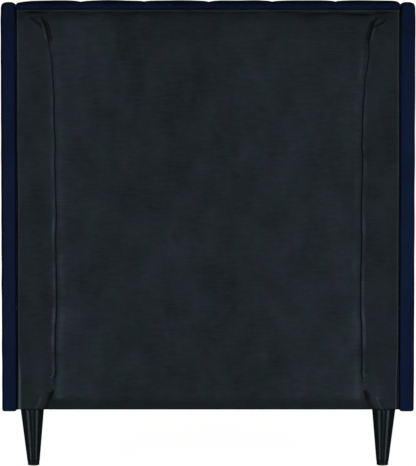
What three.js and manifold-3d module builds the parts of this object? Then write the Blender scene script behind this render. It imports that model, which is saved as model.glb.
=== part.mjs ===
// A single (twin size) upholstered bed: a channelled velvet headboard between two wings, padded side
// rails and foot panel, a slatted deck and four tapered legs.
// Millimetres. +Z is up, +Y points to the headboard, and +X is to the right seen from the foot end.
// The origin is on the floor under the middle of the bed.
import * as THREE from "three";
import { mergeVertices } from "three/addons/utils/BufferGeometryUtils.js";
import Module from "manifold-3d";

// Driving dimensions.
const MATTRESS_W = 991;
const MATTRESS_L = 1905;
const SIDE_CLEARANCE = 5;
const END_CLEARANCE = 7.5;
const HEADBOARD_H = 1319;
const WING_H = 1314;
const BODY_BOTTOM = 162.5;
const RAIL_TOP = 415;
const RAIL_T = 40;
const FOOT_T = 49;
const HEADBOARD_T = 95;
const WING_T = 42;
const WING_DEPTH = 250;
const CHANNEL_COUNT = 6;
const SLAT_COUNT = 12;

// Fits: GAP parts two pieces that would otherwise share a face, HOLE_FIT widens a hole round its bolt.
const GAP = 0.3;
const HOLE_FIT = 0.6;
const FRAME_SIDE_GAP = 0.5;

// Headboard build-up, from the back cloth forwards.
const CLOTH_T = 2.5;
const POST_T = 38;
const POST_W = 102.5;
const RECESS = 6;
const RECESS_STEP_INSET = 2;
const CROSS_RAIL_H = 100;
const MIDDLE_RAIL_Z = 700;
const FRONT_BOARD_T = 9;
const LOWER_PAD_T = 12;
const LOWER_PAD_TOP = 425;
const CHANNEL_CROWN = 25;
const TOP_ROLL_H = 27;

// Wings, rails and foot panel: a board in a padded cover.
const WING_BOTTOM = 156.5;
const WING_GAP = 1.5;
const WING_CORNER_R = 60;
const WING_EDGE = 8;
const WING_PAD_T = 12;
const RAIL_BOARD_T = 22;
const FOOT_BOARD_T = 30;
const TOP_PAD_T = 9;
const COVER_EDGE = 12;

// Deck.
const LEDGE_T = 25;
const LEDGE_H = 36;
const LEDGE_END_CLEARANCE = 14;
const DECK_Z = 318;
const FIRST_SLAT_FROM_FOOT = 58;
const LAST_SLAT_FROM_CHANNELS = 52;
const SLAT_W = 85;
const SLAT_T = 16;
const SLAT_END_CLEARANCE = 5.5;
const STRAP_W = 25;
const STRAP_T = 1.5;
const STRAP_X = 300;

// Legs.
const LEG_TOP_R = 33.4;
const LEG_FOOT_R = 17;
const LEG_X = 500.5;
const LEG_LEAN = 3.2;
const GLIDE_H = 6;
const GLIDE_CHAMFER = 2;
const STUD_R = 4;
const STUD_L = 80;
const STUD_IN_LEG = 41;

// Metalwork.
const BRACKET_T = 3;
const BRACKET_ARM = 60;
const BRACKET_H = 90;
const BRACKET_Z = 184;
const BRACKET_HOLE_R = 4.5;
const BRACKET_HOLE_FROM_CORNER = 37;
const BRACKET_HOLE_HEIGHTS = [22, 68];
const BOLT_R = 4;
const BOLT_HEAD_R = 7.5;
const BOLT_HEAD_T = 5.5;
const BOLT_HEIGHTS = [450, 1150];
const BOLT_REACH = 14;
const COUNTERBORE_R = 11;
const COUNTERBORE_DEPTH = 59;

// Facets of the round and curved pieces, how far a cutter runs past a face, and the welding tolerance.
const ROUND_SIDES = 12;
const LEG_SIDES = 24;
const BEVEL_STEPS = 2;
const CORNER_STEPS = 6;
const CROWN_STEPS = 8;
const EDGE_STEPS = 4;
const CUT_PAST = 1;
const WELD = 1e-4;

// Places worked out from the dimensions above.
const BAY_HALF_W = MATTRESS_W / 2 + SIDE_CLEARANCE;
const BODY_HALF_W = BAY_HALF_W + RAIL_T;
const BAY_L = MATTRESS_L + 2 * END_CLEARANCE;
const LENGTH = BAY_L + HEADBOARD_T + FOOT_T;
const BACK_Y = LENGTH / 2;
const FOOT_Y = -LENGTH / 2;
const BAY_FOOT_Y = FOOT_Y + FOOT_T;
const POST_BACK_Y = BACK_Y - CLOTH_T - GAP;
const POST_FRONT_Y = POST_BACK_Y - POST_T;
const BOARD_FRONT_Y = POST_FRONT_Y - FRONT_BOARD_T;
const CHANNEL_FRONT_Y = BACK_Y - HEADBOARD_T;
const LOWER_PAD_Y = BOARD_FRONT_Y - LOWER_PAD_T;
const FRAME_HALF_W = BODY_HALF_W - FRAME_SIDE_GAP;
const POST_INNER_X = FRAME_HALF_W - POST_W;
const ROLL_BOTTOM = HEADBOARD_H - TOP_ROLL_H;
const FRAME_TOP = ROLL_BOTTOM - GAP;
const WING_INNER_X = BODY_HALF_W + WING_GAP;
const WING_MID_X = WING_INNER_X + WING_T / 2;
const LEG_Y = LENGTH / 2 - LEG_TOP_R;
const BOLT_Y = (POST_FRONT_Y + POST_BACK_Y) / 2;

const SIDES = [
  ["left", -1],
  ["right", 1],
];
const ENDS = [
  ["rear", 1],
  ["front", -1],
];

const velvet = new THREE.MeshStandardMaterial({ color: 0x0e192f, roughness: 0.85, metalness: 0 });
const backCloth = new THREE.MeshStandardMaterial({ color: 0x22272b, roughness: 0.95, metalness: 0 });
const lacquer = new THREE.MeshStandardMaterial({ color: 0x0b0d0e, roughness: 0.25, metalness: 0 });
const pine = new THREE.MeshStandardMaterial({ color: 0xc9a26c, roughness: 0.7, metalness: 0 });
const plywood = new THREE.MeshStandardMaterial({ color: 0xb98d5a, roughness: 0.75, metalness: 0 });
const fibreboard = new THREE.MeshStandardMaterial({ color: 0x9c7a55, roughness: 0.8, metalness: 0 });
const blackSteel = new THREE.MeshStandardMaterial({ color: 0x1b1c1e, roughness: 0.45, metalness: 0.8 });
const zincSteel = new THREE.MeshStandardMaterial({ color: 0xb5b8bb, roughness: 0.35, metalness: 0.9 });
const nylon = new THREE.MeshStandardMaterial({ color: 0x141414, roughness: 0.55, metalness: 0 });
const webbing = new THREE.MeshStandardMaterial({ color: 0x202022, roughness: 0.9, metalness: 0 });

const wasm = await Module();
wasm.setup();
const bed = new THREE.Group();

function toSolid(geometry) {
  const plain = geometry.clone();
  plain.deleteAttribute("normal");
  plain.deleteAttribute("uv");
  const merged = mergeVertices(plain, WELD);
  const vertProperties = merged.attributes.position.array;
  const triVerts = new Uint32Array(merged.index.array);
  return new wasm.Manifold(new wasm.Mesh({ numProp: 3, vertProperties, triVerts }));
}

function toGeometry(solid) {
  const mesh = solid.getMesh();
  const geometry = new THREE.BufferGeometry();
  geometry.setAttribute("position", new THREE.BufferAttribute(mesh.vertProperties, 3));
  geometry.setIndex(new THREE.BufferAttribute(mesh.triVerts, 1));
  geometry.computeVertexNormals();
  return geometry;
}

// The geometry with each of the cutters taken out of it.
function cut(geometry, cutters) {
  const left = cutters.reduce((solid, cutter) => solid.subtract(toSolid(cutter)), toSolid(geometry));
  return toGeometry(left);
}

function join(a, b) {
  return toGeometry(toSolid(a).add(toSolid(b)));
}

function add(name, geometry, material, x = 0, y = 0, z = 0) {
  const mesh = new THREE.Mesh(geometry, material);
  mesh.name = name;
  mesh.position.set(x, y, z);
  bed.add(mesh);
}

// A box between two corners; the x limits may come in either order, so that a mirrored piece needs no care.
function box(x0, x1, y0, y1, z0, z1) {
  const geometry = new THREE.BoxGeometry(Math.abs(x1 - x0), y1 - y0, z1 - z0);
  return geometry.translate((x0 + x1) / 2, (y0 + y1) / 2, (z0 + z1) / 2);
}

function rodAlongZ(radius, x, y, z0, z1) {
  const geometry = new THREE.CylinderGeometry(radius, radius, z1 - z0, ROUND_SIDES);
  return geometry.rotateX(Math.PI / 2).translate(x, y, (z0 + z1) / 2);
}

function rodAlongY(radius, x, z, y0, y1) {
  const geometry = new THREE.CylinderGeometry(radius, radius, y1 - y0, ROUND_SIDES);
  return geometry.translate(x, (y0 + y1) / 2, z);
}

function rodAlongX(radius, y, z, x0, x1) {
  const geometry = new THREE.CylinderGeometry(radius, radius, Math.abs(x1 - x0), ROUND_SIDES);
  return geometry.rotateZ(Math.PI / 2).translate((x0 + x1) / 2, y, z);
}

function shapeOf(points) {
  return new THREE.Shape(points.map(([x, y]) => new THREE.Vector2(x, y)));
}

// A profile drawn in Y and Z, swept along X about x = 0 with rounded edges.
function sweepAlongX(shape, width, edge = 0) {
  const geometry = new THREE.ExtrudeGeometry(shape, {
    depth: width - 2 * edge,
    bevelEnabled: edge > 0,
    bevelThickness: edge,
    bevelSize: edge,
    bevelOffset: -edge,
    bevelSegments: BEVEL_STEPS,
    curveSegments: CORNER_STEPS,
  });
  geometry.translate(0, 0, edge - width / 2);
  const turn = new THREE.Matrix4().makeBasis(
    new THREE.Vector3(0, 1, 0),
    new THREE.Vector3(0, 0, 1),
    new THREE.Vector3(1, 0, 0),
  );
  return geometry.applyMatrix4(turn);
}

// A profile drawn in X and Z, swept along Y from y0 to y1.
function sweepAlongY(shape, y0, y1) {
  const geometry = new THREE.ExtrudeGeometry(shape, {
    depth: y1 - y0,
    bevelEnabled: false,
    curveSegments: EDGE_STEPS,
  });
  return geometry.rotateX(Math.PI / 2).translate(0, y1, 0);
}

function studHole(side, end, radius) {
  const studTop = BODY_BOTTOM + STUD_L - STUD_IN_LEG;
  return rodAlongZ(radius, side * LEG_X, end * LEG_Y, BODY_BOTTOM - CUT_PAST, studTop + HOLE_FIT);
}

function addHeadboardFrame() {
  for (const [name, side] of SIDES) {
    const inner = side * POST_INNER_X;
    const outer = side * FRAME_HALF_W;
    const post = box(inner, outer, POST_FRONT_Y, POST_BACK_Y, BODY_BOTTOM, FRAME_TOP);
    const holes = [studHole(side, 1, STUD_R + HOLE_FIT)];
    for (const z of BOLT_HEIGHTS) {
      const headX = side * (POST_INNER_X + COUNTERBORE_DEPTH);
      const outside = side * (FRAME_HALF_W + CUT_PAST);
      holes.push(rodAlongX(COUNTERBORE_R, BOLT_Y, z, side * (POST_INNER_X - CUT_PAST), headX));
      holes.push(rodAlongX(BOLT_R + HOLE_FIT, BOLT_Y, z, headX - side * CUT_PAST, outside));
    }
    add(`headboard_post_${name}`, cut(post, holes), pine);
  }
  const crossRails = [
    ["bottom", BODY_BOTTOM],
    ["middle", MIDDLE_RAIL_Z],
    ["top", FRAME_TOP - CROSS_RAIL_H],
  ];
  for (const [name, z] of crossRails) {
    const back = POST_BACK_Y - RECESS;
    const rail = box(-POST_INNER_X, POST_INNER_X, POST_FRONT_Y, back, z, z + CROSS_RAIL_H);
    add(`headboard_${name}_rail`, rail, pine);
  }
  const board = box(-FRAME_HALF_W, FRAME_HALF_W, BOARD_FRONT_Y, POST_FRONT_Y, BODY_BOTTOM, FRAME_TOP);
  add("headboard_front_board", board, plywood);
}

// One upright channel: a crowned foam and velvet roll on the front, carried over the top of the frame.
function channelPad(x0, x1) {
  const halfW = (x1 - x0) / 2;
  const radius = (halfW ** 2 + CHANNEL_CROWN ** 2) / (2 * CHANNEL_CROWN);
  const half = Math.asin(halfW / radius);
  const plan = new THREE.Shape();
  plan.moveTo(x1, BOARD_FRONT_Y);
  plan.lineTo(x0, BOARD_FRONT_Y);
  const seamY = CHANNEL_FRONT_Y + CHANNEL_CROWN;
  plan.lineTo(x0, seamY);
  const middle = (x0 + x1) / 2;
  const straightDown = -Math.PI / 2;
  plan.absarc(middle, CHANNEL_FRONT_Y + radius, radius, straightDown - half, straightDown + half, false);
  plan.closePath();
  const bottom = LOWER_PAD_TOP + GAP;
  const front = new THREE.ExtrudeGeometry(plan, {
    depth: HEADBOARD_H - bottom,
    bevelEnabled: false,
    curveSegments: CROWN_STEPS,
  }).translate(0, 0, bottom);
  const roll = box(x0, x1, BOARD_FRONT_Y - CUT_PAST, BACK_Y - GAP, ROLL_BOTTOM, HEADBOARD_H);
  return join(front, roll);
}

function addHeadboardPadding() {
  const pitch = (2 * BODY_HALF_W) / CHANNEL_COUNT;
  for (let i = 0; i < CHANNEL_COUNT; i += 1) {
    const x0 = -BODY_HALF_W + i * pitch;
    add(`channel_pad_${i + 1}`, channelPad(x0 + GAP, x0 + pitch - GAP), velvet);
  }
  const lower = box(-BODY_HALF_W, BODY_HALF_W, LOWER_PAD_Y, BOARD_FRONT_Y, BODY_BOTTOM, LOWER_PAD_TOP);
  add("headboard_lower_pad", lower, velvet);
}

// The cloth lies flat on the posts and steps into the shallow recess between them.
function addBackCloth() {
  const stepX = POST_INNER_X - RECESS_STEP_INSET;
  const sunkX = stepX - RECESS;
  const outer = BACK_Y;
  const sunk = BACK_Y - RECESS;
  const back = [
    [-BODY_HALF_W, outer],
    [-stepX, outer],
    [-sunkX, sunk],
    [sunkX, sunk],
    [stepX, outer],
    [BODY_HALF_W, outer],
  ];
  const front = back.map(([x, y]) => [x, y - CLOTH_T]).reverse();
  const cloth = new THREE.ExtrudeGeometry(shapeOf([...back, ...front]), {
    depth: FRAME_TOP - BODY_BOTTOM,
    bevelEnabled: false,
  });
  add("back_dust_cover", cloth.translate(0, 0, BODY_BOTTOM), backCloth);
}

function wingOutline(inset, bottom) {
  const front = BACK_Y - WING_DEPTH + inset;
  const back = BACK_Y - inset;
  const top = WING_H - inset;
  const radius = WING_CORNER_R - inset;
  const outline = new THREE.Shape();
  outline.moveTo(front, bottom);
  outline.lineTo(back, bottom);
  outline.lineTo(back, top);
  outline.lineTo(front + radius, top);
  outline.absarc(front + radius, top - radius, radius, Math.PI / 2, Math.PI, false);
  outline.closePath();
  return outline;
}

function addWings() {
  const boardT = WING_T - 2 * WING_PAD_T;
  for (const [name, side] of SIDES) {
    const x = side * WING_MID_X;
    const boltHoles = BOLT_HEIGHTS.map((z) => {
      const inner = side * (WING_INNER_X - CUT_PAST);
      const end = side * (WING_INNER_X + WING_PAD_T + BOLT_REACH + HOLE_FIT);
      return rodAlongX(BOLT_R + HOLE_FIT, BOLT_Y, z, inner, end);
    });
    const board = sweepAlongX(wingOutline(WING_PAD_T, WING_BOTTOM + GAP), boardT).translate(x, 0, 0);
    add(`wing_board_${name}`, cut(board, boltHoles), fibreboard);
    // The cover is a sleeve that is open underneath, where it is pulled over the board.
    const sleeve = sweepAlongX(wingOutline(0, WING_BOTTOM), WING_T, WING_EDGE).translate(x, 0, 0);
    const hollow = sweepAlongX(wingOutline(WING_PAD_T - GAP, WING_BOTTOM - CUT_PAST), boardT + 2 * GAP);
    add(`wing_cover_${name}`, cut(sleeve, [hollow.translate(x, 0, 0), ...boltHoles]), velvet);
    BOLT_HEIGHTS.forEach((z, i) => addWingBolt(`wing_bolt_${name}_${i + 1}`, side, z));
  }
}

// A hidden bolt from the counterbore in the post through to the wing board.
function addWingBolt(name, side, z) {
  const headX = POST_INNER_X + COUNTERBORE_DEPTH - GAP;
  const tipX = WING_INNER_X + WING_PAD_T + BOLT_REACH;
  const profile = [
    [0, 0],
    [BOLT_HEAD_R, 0],
    [BOLT_HEAD_R, BOLT_HEAD_T],
    [BOLT_R, BOLT_HEAD_T],
    [BOLT_R, tipX - headX + BOLT_HEAD_T],
    [0, tipX - headX + BOLT_HEAD_T],
  ].map(([r, h]) => new THREE.Vector2(r, h));
  const bolt = new THREE.LatheGeometry(profile, ROUND_SIDES).rotateZ((-side * Math.PI) / 2);
  add(name, bolt, zincSteel, side * (headX - BOLT_HEAD_T), BOLT_Y, z);
}

// An inverted channel round the rail board, with rounded top edges.
function railCoverProfile(side) {
  const inner = BAY_HALF_W;
  const outer = BODY_HALF_W;
  const slotIn = (inner + outer - RAIL_BOARD_T) / 2 - GAP;
  const slotOut = (inner + outer + RAIL_BOARD_T) / 2 + GAP;
  const slotTop = RAIL_TOP - TOP_PAD_T + GAP;
  const profile = new THREE.Shape();
  profile.moveTo(side * inner, BODY_BOTTOM);
  profile.lineTo(side * inner, RAIL_TOP - COVER_EDGE);
  profile.quadraticCurveTo(side * inner, RAIL_TOP, side * (inner + COVER_EDGE), RAIL_TOP);
  profile.lineTo(side * (outer - COVER_EDGE), RAIL_TOP);
  profile.quadraticCurveTo(side * outer, RAIL_TOP, side * outer, RAIL_TOP - COVER_EDGE);
  profile.lineTo(side * outer, BODY_BOTTOM);
  profile.lineTo(side * slotOut, BODY_BOTTOM);
  profile.lineTo(side * slotOut, slotTop);
  profile.lineTo(side * slotIn, slotTop);
  profile.lineTo(side * slotIn, BODY_BOTTOM);
  profile.closePath();
  return profile;
}

function addSideRails() {
  const y0 = BAY_FOOT_Y + GAP;
  const y1 = LOWER_PAD_Y - GAP;
  const boardMid = (BAY_HALF_W + BODY_HALF_W) / 2;
  for (const [name, side] of SIDES) {
    const boardIn = side * (boardMid - RAIL_BOARD_T / 2);
    const boardOut = side * (boardMid + RAIL_BOARD_T / 2);
    const board = box(boardIn, boardOut, y0, y1, BODY_BOTTOM, RAIL_TOP - TOP_PAD_T);
    add(`side_rail_board_${name}`, board, pine);
    add(`side_rail_cover_${name}`, sweepAlongY(railCoverProfile(side), y0, y1), velvet);
    const ledge = box(
      side * (BAY_HALF_W - LEDGE_T),
      side * BAY_HALF_W,
      y0 + LEDGE_END_CLEARANCE,
      y1 - LEDGE_END_CLEARANCE,
      DECK_Z - LEDGE_H,
      DECK_Z,
    );
    add(`slat_ledge_${name}`, ledge, pine);
  }
}

function addFootPanel() {
  const boardHalfW = BODY_HALF_W - WING_PAD_T;
  const middle = FOOT_Y + FOOT_T / 2;
  const boardY0 = middle - FOOT_BOARD_T / 2;
  const boardY1 = middle + FOOT_BOARD_T / 2;
  const boardTop = RAIL_TOP - TOP_PAD_T;
  const board = box(-boardHalfW, boardHalfW, boardY0, boardY1, BODY_BOTTOM, boardTop);
  const holes = SIDES.map(([, side]) => studHole(side, -1, STUD_R + HOLE_FIT));
  add("foot_panel_board", cut(board, holes), pine);
  const profile = shapeOf([
    [FOOT_Y, BODY_BOTTOM],
    [BAY_FOOT_Y, BODY_BOTTOM],
    [BAY_FOOT_Y, RAIL_TOP],
    [FOOT_Y, RAIL_TOP],
  ]);
  const sleeve = sweepAlongX(profile, 2 * BODY_HALF_W, COVER_EDGE);
  // The cover's lower edge is square, level with the underside of the board.
  const squareTop = BODY_BOTTOM + 2 * COVER_EDGE;
  const square = box(-BODY_HALF_W, BODY_HALF_W, FOOT_Y, BAY_FOOT_Y, BODY_BOTTOM, squareTop);
  const hollow = box(
    -boardHalfW - GAP,
    boardHalfW + GAP,
    boardY0 - GAP,
    boardY1 + GAP,
    BODY_BOTTOM - CUT_PAST,
    boardTop + GAP,
  );
  add("foot_panel_cover", cut(join(sleeve, square), [hollow]), velvet);
}

function addDeck() {
  const halfL = BAY_HALF_W - SLAT_END_CLEARANCE;
  const firstY = BAY_FOOT_Y + FIRST_SLAT_FROM_FOOT;
  const lastY = CHANNEL_FRONT_Y - LAST_SLAT_FROM_CHANNELS;
  const pitch = (lastY - firstY) / (SLAT_COUNT - 1);
  for (let i = 0; i < SLAT_COUNT; i += 1) {
    const slat = box(-halfL, halfL, -SLAT_W / 2, SLAT_W / 2, DECK_Z, DECK_Z + SLAT_T);
    add(`slat_${String(i + 1).padStart(2, "0")}`, slat, pine, 0, firstY + i * pitch, 0);
  }
  for (const [name, side] of SIDES) {
    const strap = box(
      side * (STRAP_X - STRAP_W / 2),
      side * (STRAP_X + STRAP_W / 2),
      firstY - SLAT_W / 2,
      lastY + SLAT_W / 2,
      DECK_Z - STRAP_T - GAP,
      DECK_Z - GAP,
    );
    add(`slat_strap_${name}`, strap, webbing);
  }
}

// The leg tapers to its foot, which stands a little nearer the middle of the bed than its top. The bore for
// its stud leans with it, so the bore is wider than the stud by twice the usual fit.
function legGeometry(side) {
  const top = BODY_BOTTOM - GAP;
  const boreR = STUD_R + 2 * HOLE_FIT;
  const boreBottom = BODY_BOTTOM - STUD_IN_LEG - HOLE_FIT;
  const profile = [
    [0, GLIDE_H],
    [LEG_FOOT_R, GLIDE_H],
    [LEG_TOP_R, top],
    [boreR, top],
    [boreR, boreBottom],
    [0, boreBottom],
  ].map(([r, z]) => new THREE.Vector2(r, z));
  const leg = new THREE.LatheGeometry(profile, LEG_SIDES).rotateX(Math.PI / 2);
  const lean = (side * LEG_LEAN) / top;
  const shear = new THREE.Matrix4().set(1, 0, lean, -lean * top, 0, 1, 0, 0, 0, 0, 1, 0, 0, 0, 0, 1);
  return leg.applyMatrix4(shear);
}

function glideGeometry() {
  const profile = [
    [0, 0],
    [LEG_FOOT_R - GLIDE_CHAMFER, 0],
    [LEG_FOOT_R, GLIDE_CHAMFER],
    [LEG_FOOT_R, GLIDE_H - GAP],
    [0, GLIDE_H - GAP],
  ].map(([r, z]) => new THREE.Vector2(r, z));
  return new THREE.LatheGeometry(profile, LEG_SIDES).rotateX(Math.PI / 2);
}

function addLegs() {
  for (const [endName, end] of ENDS) {
    for (const [sideName, side] of SIDES) {
      const name = `${endName}_${sideName}`;
      add(`leg_${name}`, legGeometry(side), lacquer, side * LEG_X, end * LEG_Y, 0);
      add(`leg_glide_${name}`, glideGeometry(), nylon, side * (LEG_X - LEG_LEAN), end * LEG_Y, 0);
      const studBottom = BODY_BOTTOM - STUD_IN_LEG;
      const stud = rodAlongZ(STUD_R, side * LEG_X, end * LEG_Y, studBottom, studBottom + STUD_L);
      add(`leg_stud_${name}`, stud, zincSteel);
    }
  }
}

// An angle plate in each inside corner ties a side rail to the headboard or the foot panel.
function bracketGeometry(side, end) {
  const cornerX = BAY_HALF_W;
  const cornerY = end > 0 ? LOWER_PAD_Y : BAY_FOOT_Y;
  const outline = [
    [0, 0],
    [-BRACKET_ARM, 0],
    [-BRACKET_ARM, -BRACKET_T],
    [-BRACKET_T, -BRACKET_T],
    [-BRACKET_T, -BRACKET_ARM],
    [0, -BRACKET_ARM],
  ].map(([x, y]) => [side * (cornerX + x), cornerY + end * y]);
  const plate = new THREE.ExtrudeGeometry(shapeOf(outline), { depth: BRACKET_H, bevelEnabled: false });
  const holes = BRACKET_HOLE_HEIGHTS.flatMap((height) => {
    const z = BRACKET_Z + height;
    const holeX = side * (cornerX - BRACKET_HOLE_FROM_CORNER);
    const holeY = cornerY - end * BRACKET_HOLE_FROM_CORNER;
    return [
      rodAlongY(BRACKET_HOLE_R, holeX, z, cornerY - 2 * BRACKET_T, cornerY + 2 * BRACKET_T),
      rodAlongX(BRACKET_HOLE_R, holeY, z, side * (cornerX - 2 * BRACKET_T), side * (cornerX + CUT_PAST)),
    ];
  });
  return cut(plate.translate(0, 0, BRACKET_Z), holes);
}

function addBrackets() {
  for (const [endName, end] of ENDS) {
    for (const [sideName, side] of SIDES) {
      add(`corner_bracket_${endName}_${sideName}`, bracketGeometry(side, end), blackSteel);
    }
  }
}

addHeadboardFrame();
addHeadboardPadding();
addBackCloth();
addWings();
addSideRails();
addFootPanel();
addDeck();
addLegs();
addBrackets();

export default bed;
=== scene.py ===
"""Looks of a single upholstered bed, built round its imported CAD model.

Metres, in the row frame: +Z up, +Y towards the headboard, whose back is the side seen from the camera.
"""
import math

import bmesh
import bpy
import numpy as np
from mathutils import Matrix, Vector


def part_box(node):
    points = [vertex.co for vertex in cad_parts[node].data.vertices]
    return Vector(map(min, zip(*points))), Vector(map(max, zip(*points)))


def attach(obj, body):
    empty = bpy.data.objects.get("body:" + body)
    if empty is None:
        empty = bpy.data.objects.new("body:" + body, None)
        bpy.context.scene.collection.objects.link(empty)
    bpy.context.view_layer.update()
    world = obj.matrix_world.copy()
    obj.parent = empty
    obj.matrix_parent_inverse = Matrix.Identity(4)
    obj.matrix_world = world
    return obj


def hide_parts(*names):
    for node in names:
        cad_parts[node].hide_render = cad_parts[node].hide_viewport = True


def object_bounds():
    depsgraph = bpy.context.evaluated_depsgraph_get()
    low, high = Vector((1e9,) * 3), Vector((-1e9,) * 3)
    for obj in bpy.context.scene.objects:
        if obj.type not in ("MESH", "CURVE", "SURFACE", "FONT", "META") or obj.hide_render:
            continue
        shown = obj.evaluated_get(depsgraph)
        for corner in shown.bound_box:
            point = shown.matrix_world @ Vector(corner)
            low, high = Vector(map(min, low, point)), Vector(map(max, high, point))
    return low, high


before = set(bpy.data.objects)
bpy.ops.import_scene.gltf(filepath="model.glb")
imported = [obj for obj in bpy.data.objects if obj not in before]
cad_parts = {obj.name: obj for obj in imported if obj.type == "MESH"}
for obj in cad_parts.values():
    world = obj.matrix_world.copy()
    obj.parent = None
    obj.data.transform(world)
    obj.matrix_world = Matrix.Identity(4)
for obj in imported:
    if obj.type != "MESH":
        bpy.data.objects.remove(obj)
cad_low, cad_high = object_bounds()

SIDES = [("left", -1), ("right", 1)]
ENDS = [("rear", 1), ("front", -1)]
SLATS = [f"slat_{i:02d}" for i in range(1, 13)]
CHANNEL_PADS = [f"channel_pad_{i}" for i in range(1, 7)]
BACK_Y = cad_high.y
CAMERA_LENS = 164.4
CAMERA_AWAY = 6.0
CAMERA_HEIGHT = 0.935
CAMERA_TIP = math.radians(2.59)


class Nodes:
    """Short ways to add a node tree's nodes and join them."""

    def __init__(self, tree):
        self.tree = tree

    def add(self, kind, **settings):
        node = self.tree.nodes.new(kind)
        for key, value in settings.items():
            setattr(node, key, value)
        return node

    def put(self, value, socket):
        if isinstance(value, bpy.types.NodeSocket):
            self.tree.links.new(value, socket)
        else:
            socket.default_value = value

    def ranged(self, value, low, high, to_low, to_high):
        node = self.add("ShaderNodeMapRange")
        keys = ("Value", "From Min", "From Max", "To Min", "To Max")
        for key, v in zip(keys, (value, low, high, to_low, to_high)):
            self.put(v, node.inputs[key])
        return node.outputs["Result"]

    def seen(self, otherwise, to_camera):
        """One value for what the camera sees directly, and another for all other light."""
        ray = self.add("ShaderNodeLightPath").outputs["Is Camera Ray"]
        return self.ranged(ray, 0.0, 1.0, otherwise, to_camera)


# ---------------------------------------------------------------- camera, lights and stage

def add_camera():
    """A long lens a little above the middle of the headboard's back, tipped down by under three degrees."""
    data = bpy.data.cameras.new("camera")
    data.lens = CAMERA_LENS
    data.clip_end = 100
    camera = bpy.data.objects.new("camera", data)
    camera.location = (0, BACK_Y + CAMERA_AWAY, CAMERA_HEIGHT)
    aim = Vector((0, -math.cos(CAMERA_TIP), -math.sin(CAMERA_TIP)))
    camera.rotation_mode = "QUATERNION"
    camera.rotation_quaternion = aim.to_track_quat("-Z", "Y")
    bpy.context.scene.collection.objects.link(camera)
    bpy.context.scene.camera = camera


def add_panel_light(name, azimuth, elevation, distance, width, height, radiance, middle):
    """A softbox aimed at a point. Azimuth 0 stands off along +Y and 180 along -Y."""
    data = bpy.data.lights.new(name, "AREA")
    data.shape = "RECTANGLE"
    data.size, data.size_y = width, height
    # a flat panel of radiance L and area A gives out pi * A * L watts
    data.energy = math.pi * width * height * radiance
    light = bpy.data.objects.new(name, data)
    turn, lift = math.radians(azimuth), math.radians(elevation)
    away = Vector((math.sin(turn) * math.cos(lift), math.cos(turn) * math.cos(lift), math.sin(lift)))
    light.location = Vector(middle) + distance * away
    light.rotation_mode = "QUATERNION"
    light.rotation_quaternion = (-away).to_track_quat("-Z", "Y")
    light.visible_camera = False
    bpy.context.scene.collection.objects.link(light)


def add_lights():
    rear = (0, BACK_Y, 0.2)
    for side in (-1, 1):
        add_panel_light(f"softbox_rear_{side}", side * 48.5, 0, 4.6, 1.3, 5.4, 1.9, rear)
    add_panel_light("fill_rear", 0, 0, 8.5, 1.2, 5.6, 2.6, rear)
    add_panel_light("softbox_front", 180, 32, 5.5, 2.6, 2.2, 4.5, (0, 0, 0.6))


def add_world():
    """A white surround to the camera, a softer one as light, and none in reflections."""
    world = bpy.data.worlds.new("surround")
    bpy.context.scene.world = world
    world.use_nodes = True
    n = Nodes(world.node_tree)
    height = n.add("ShaderNodeSeparateXYZ")
    n.put(n.add("ShaderNodeTexCoord").outputs["Generated"], height.inputs[0])
    overhead = n.ranged(height.outputs["Z"], 0.15, 0.8, 0.45, 0.2)
    background = n.tree.nodes["Background"]
    background.inputs["Color"].default_value = (1, 1, 1, 1)
    n.put(n.seen(overhead, 1.0), background.inputs["Strength"])
    world.cycles_visibility.glossy = False
    bpy.context.scene.view_settings.view_transform = "Standard"


def add_floor():
    """A plain pale floor, bright enough to pass into the surround and to hold a faint shadow."""
    mesh = bpy.data.meshes.new("floor")
    reach = 40
    mesh.from_pydata([(-reach, -reach, 0), (reach, -reach, 0), (reach, reach, 0), (-reach, reach, 0)], [],
                     [(0, 1, 2, 3)])
    floor = bpy.data.objects.new("floor", mesh)
    bpy.context.scene.collection.objects.link(floor)
    material = bpy.data.materials.new("floor")
    material.use_nodes = True
    n = Nodes(material.node_tree)
    n.tree.nodes.clear()
    diffuse, glow, both = (n.add(f"ShaderNode{kind}") for kind in ("BsdfDiffuse", "Emission", "AddShader"))
    diffuse.inputs["Color"].default_value = (0.3, 0.3, 0.3, 1)
    n.put(n.seen(0.0, 0.95), glow.inputs["Strength"])
    n.put(diffuse.outputs[0], both.inputs[0])
    n.put(glow.outputs[0], both.inputs[1])
    n.put(both.outputs[0], n.add("ShaderNodeOutputMaterial").inputs["Surface"])
    mesh.materials.append(material)
    floor.visible_glossy = False
    floor.visible_shadow = False


# ---------------------------------------------------------------- materials

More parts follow.
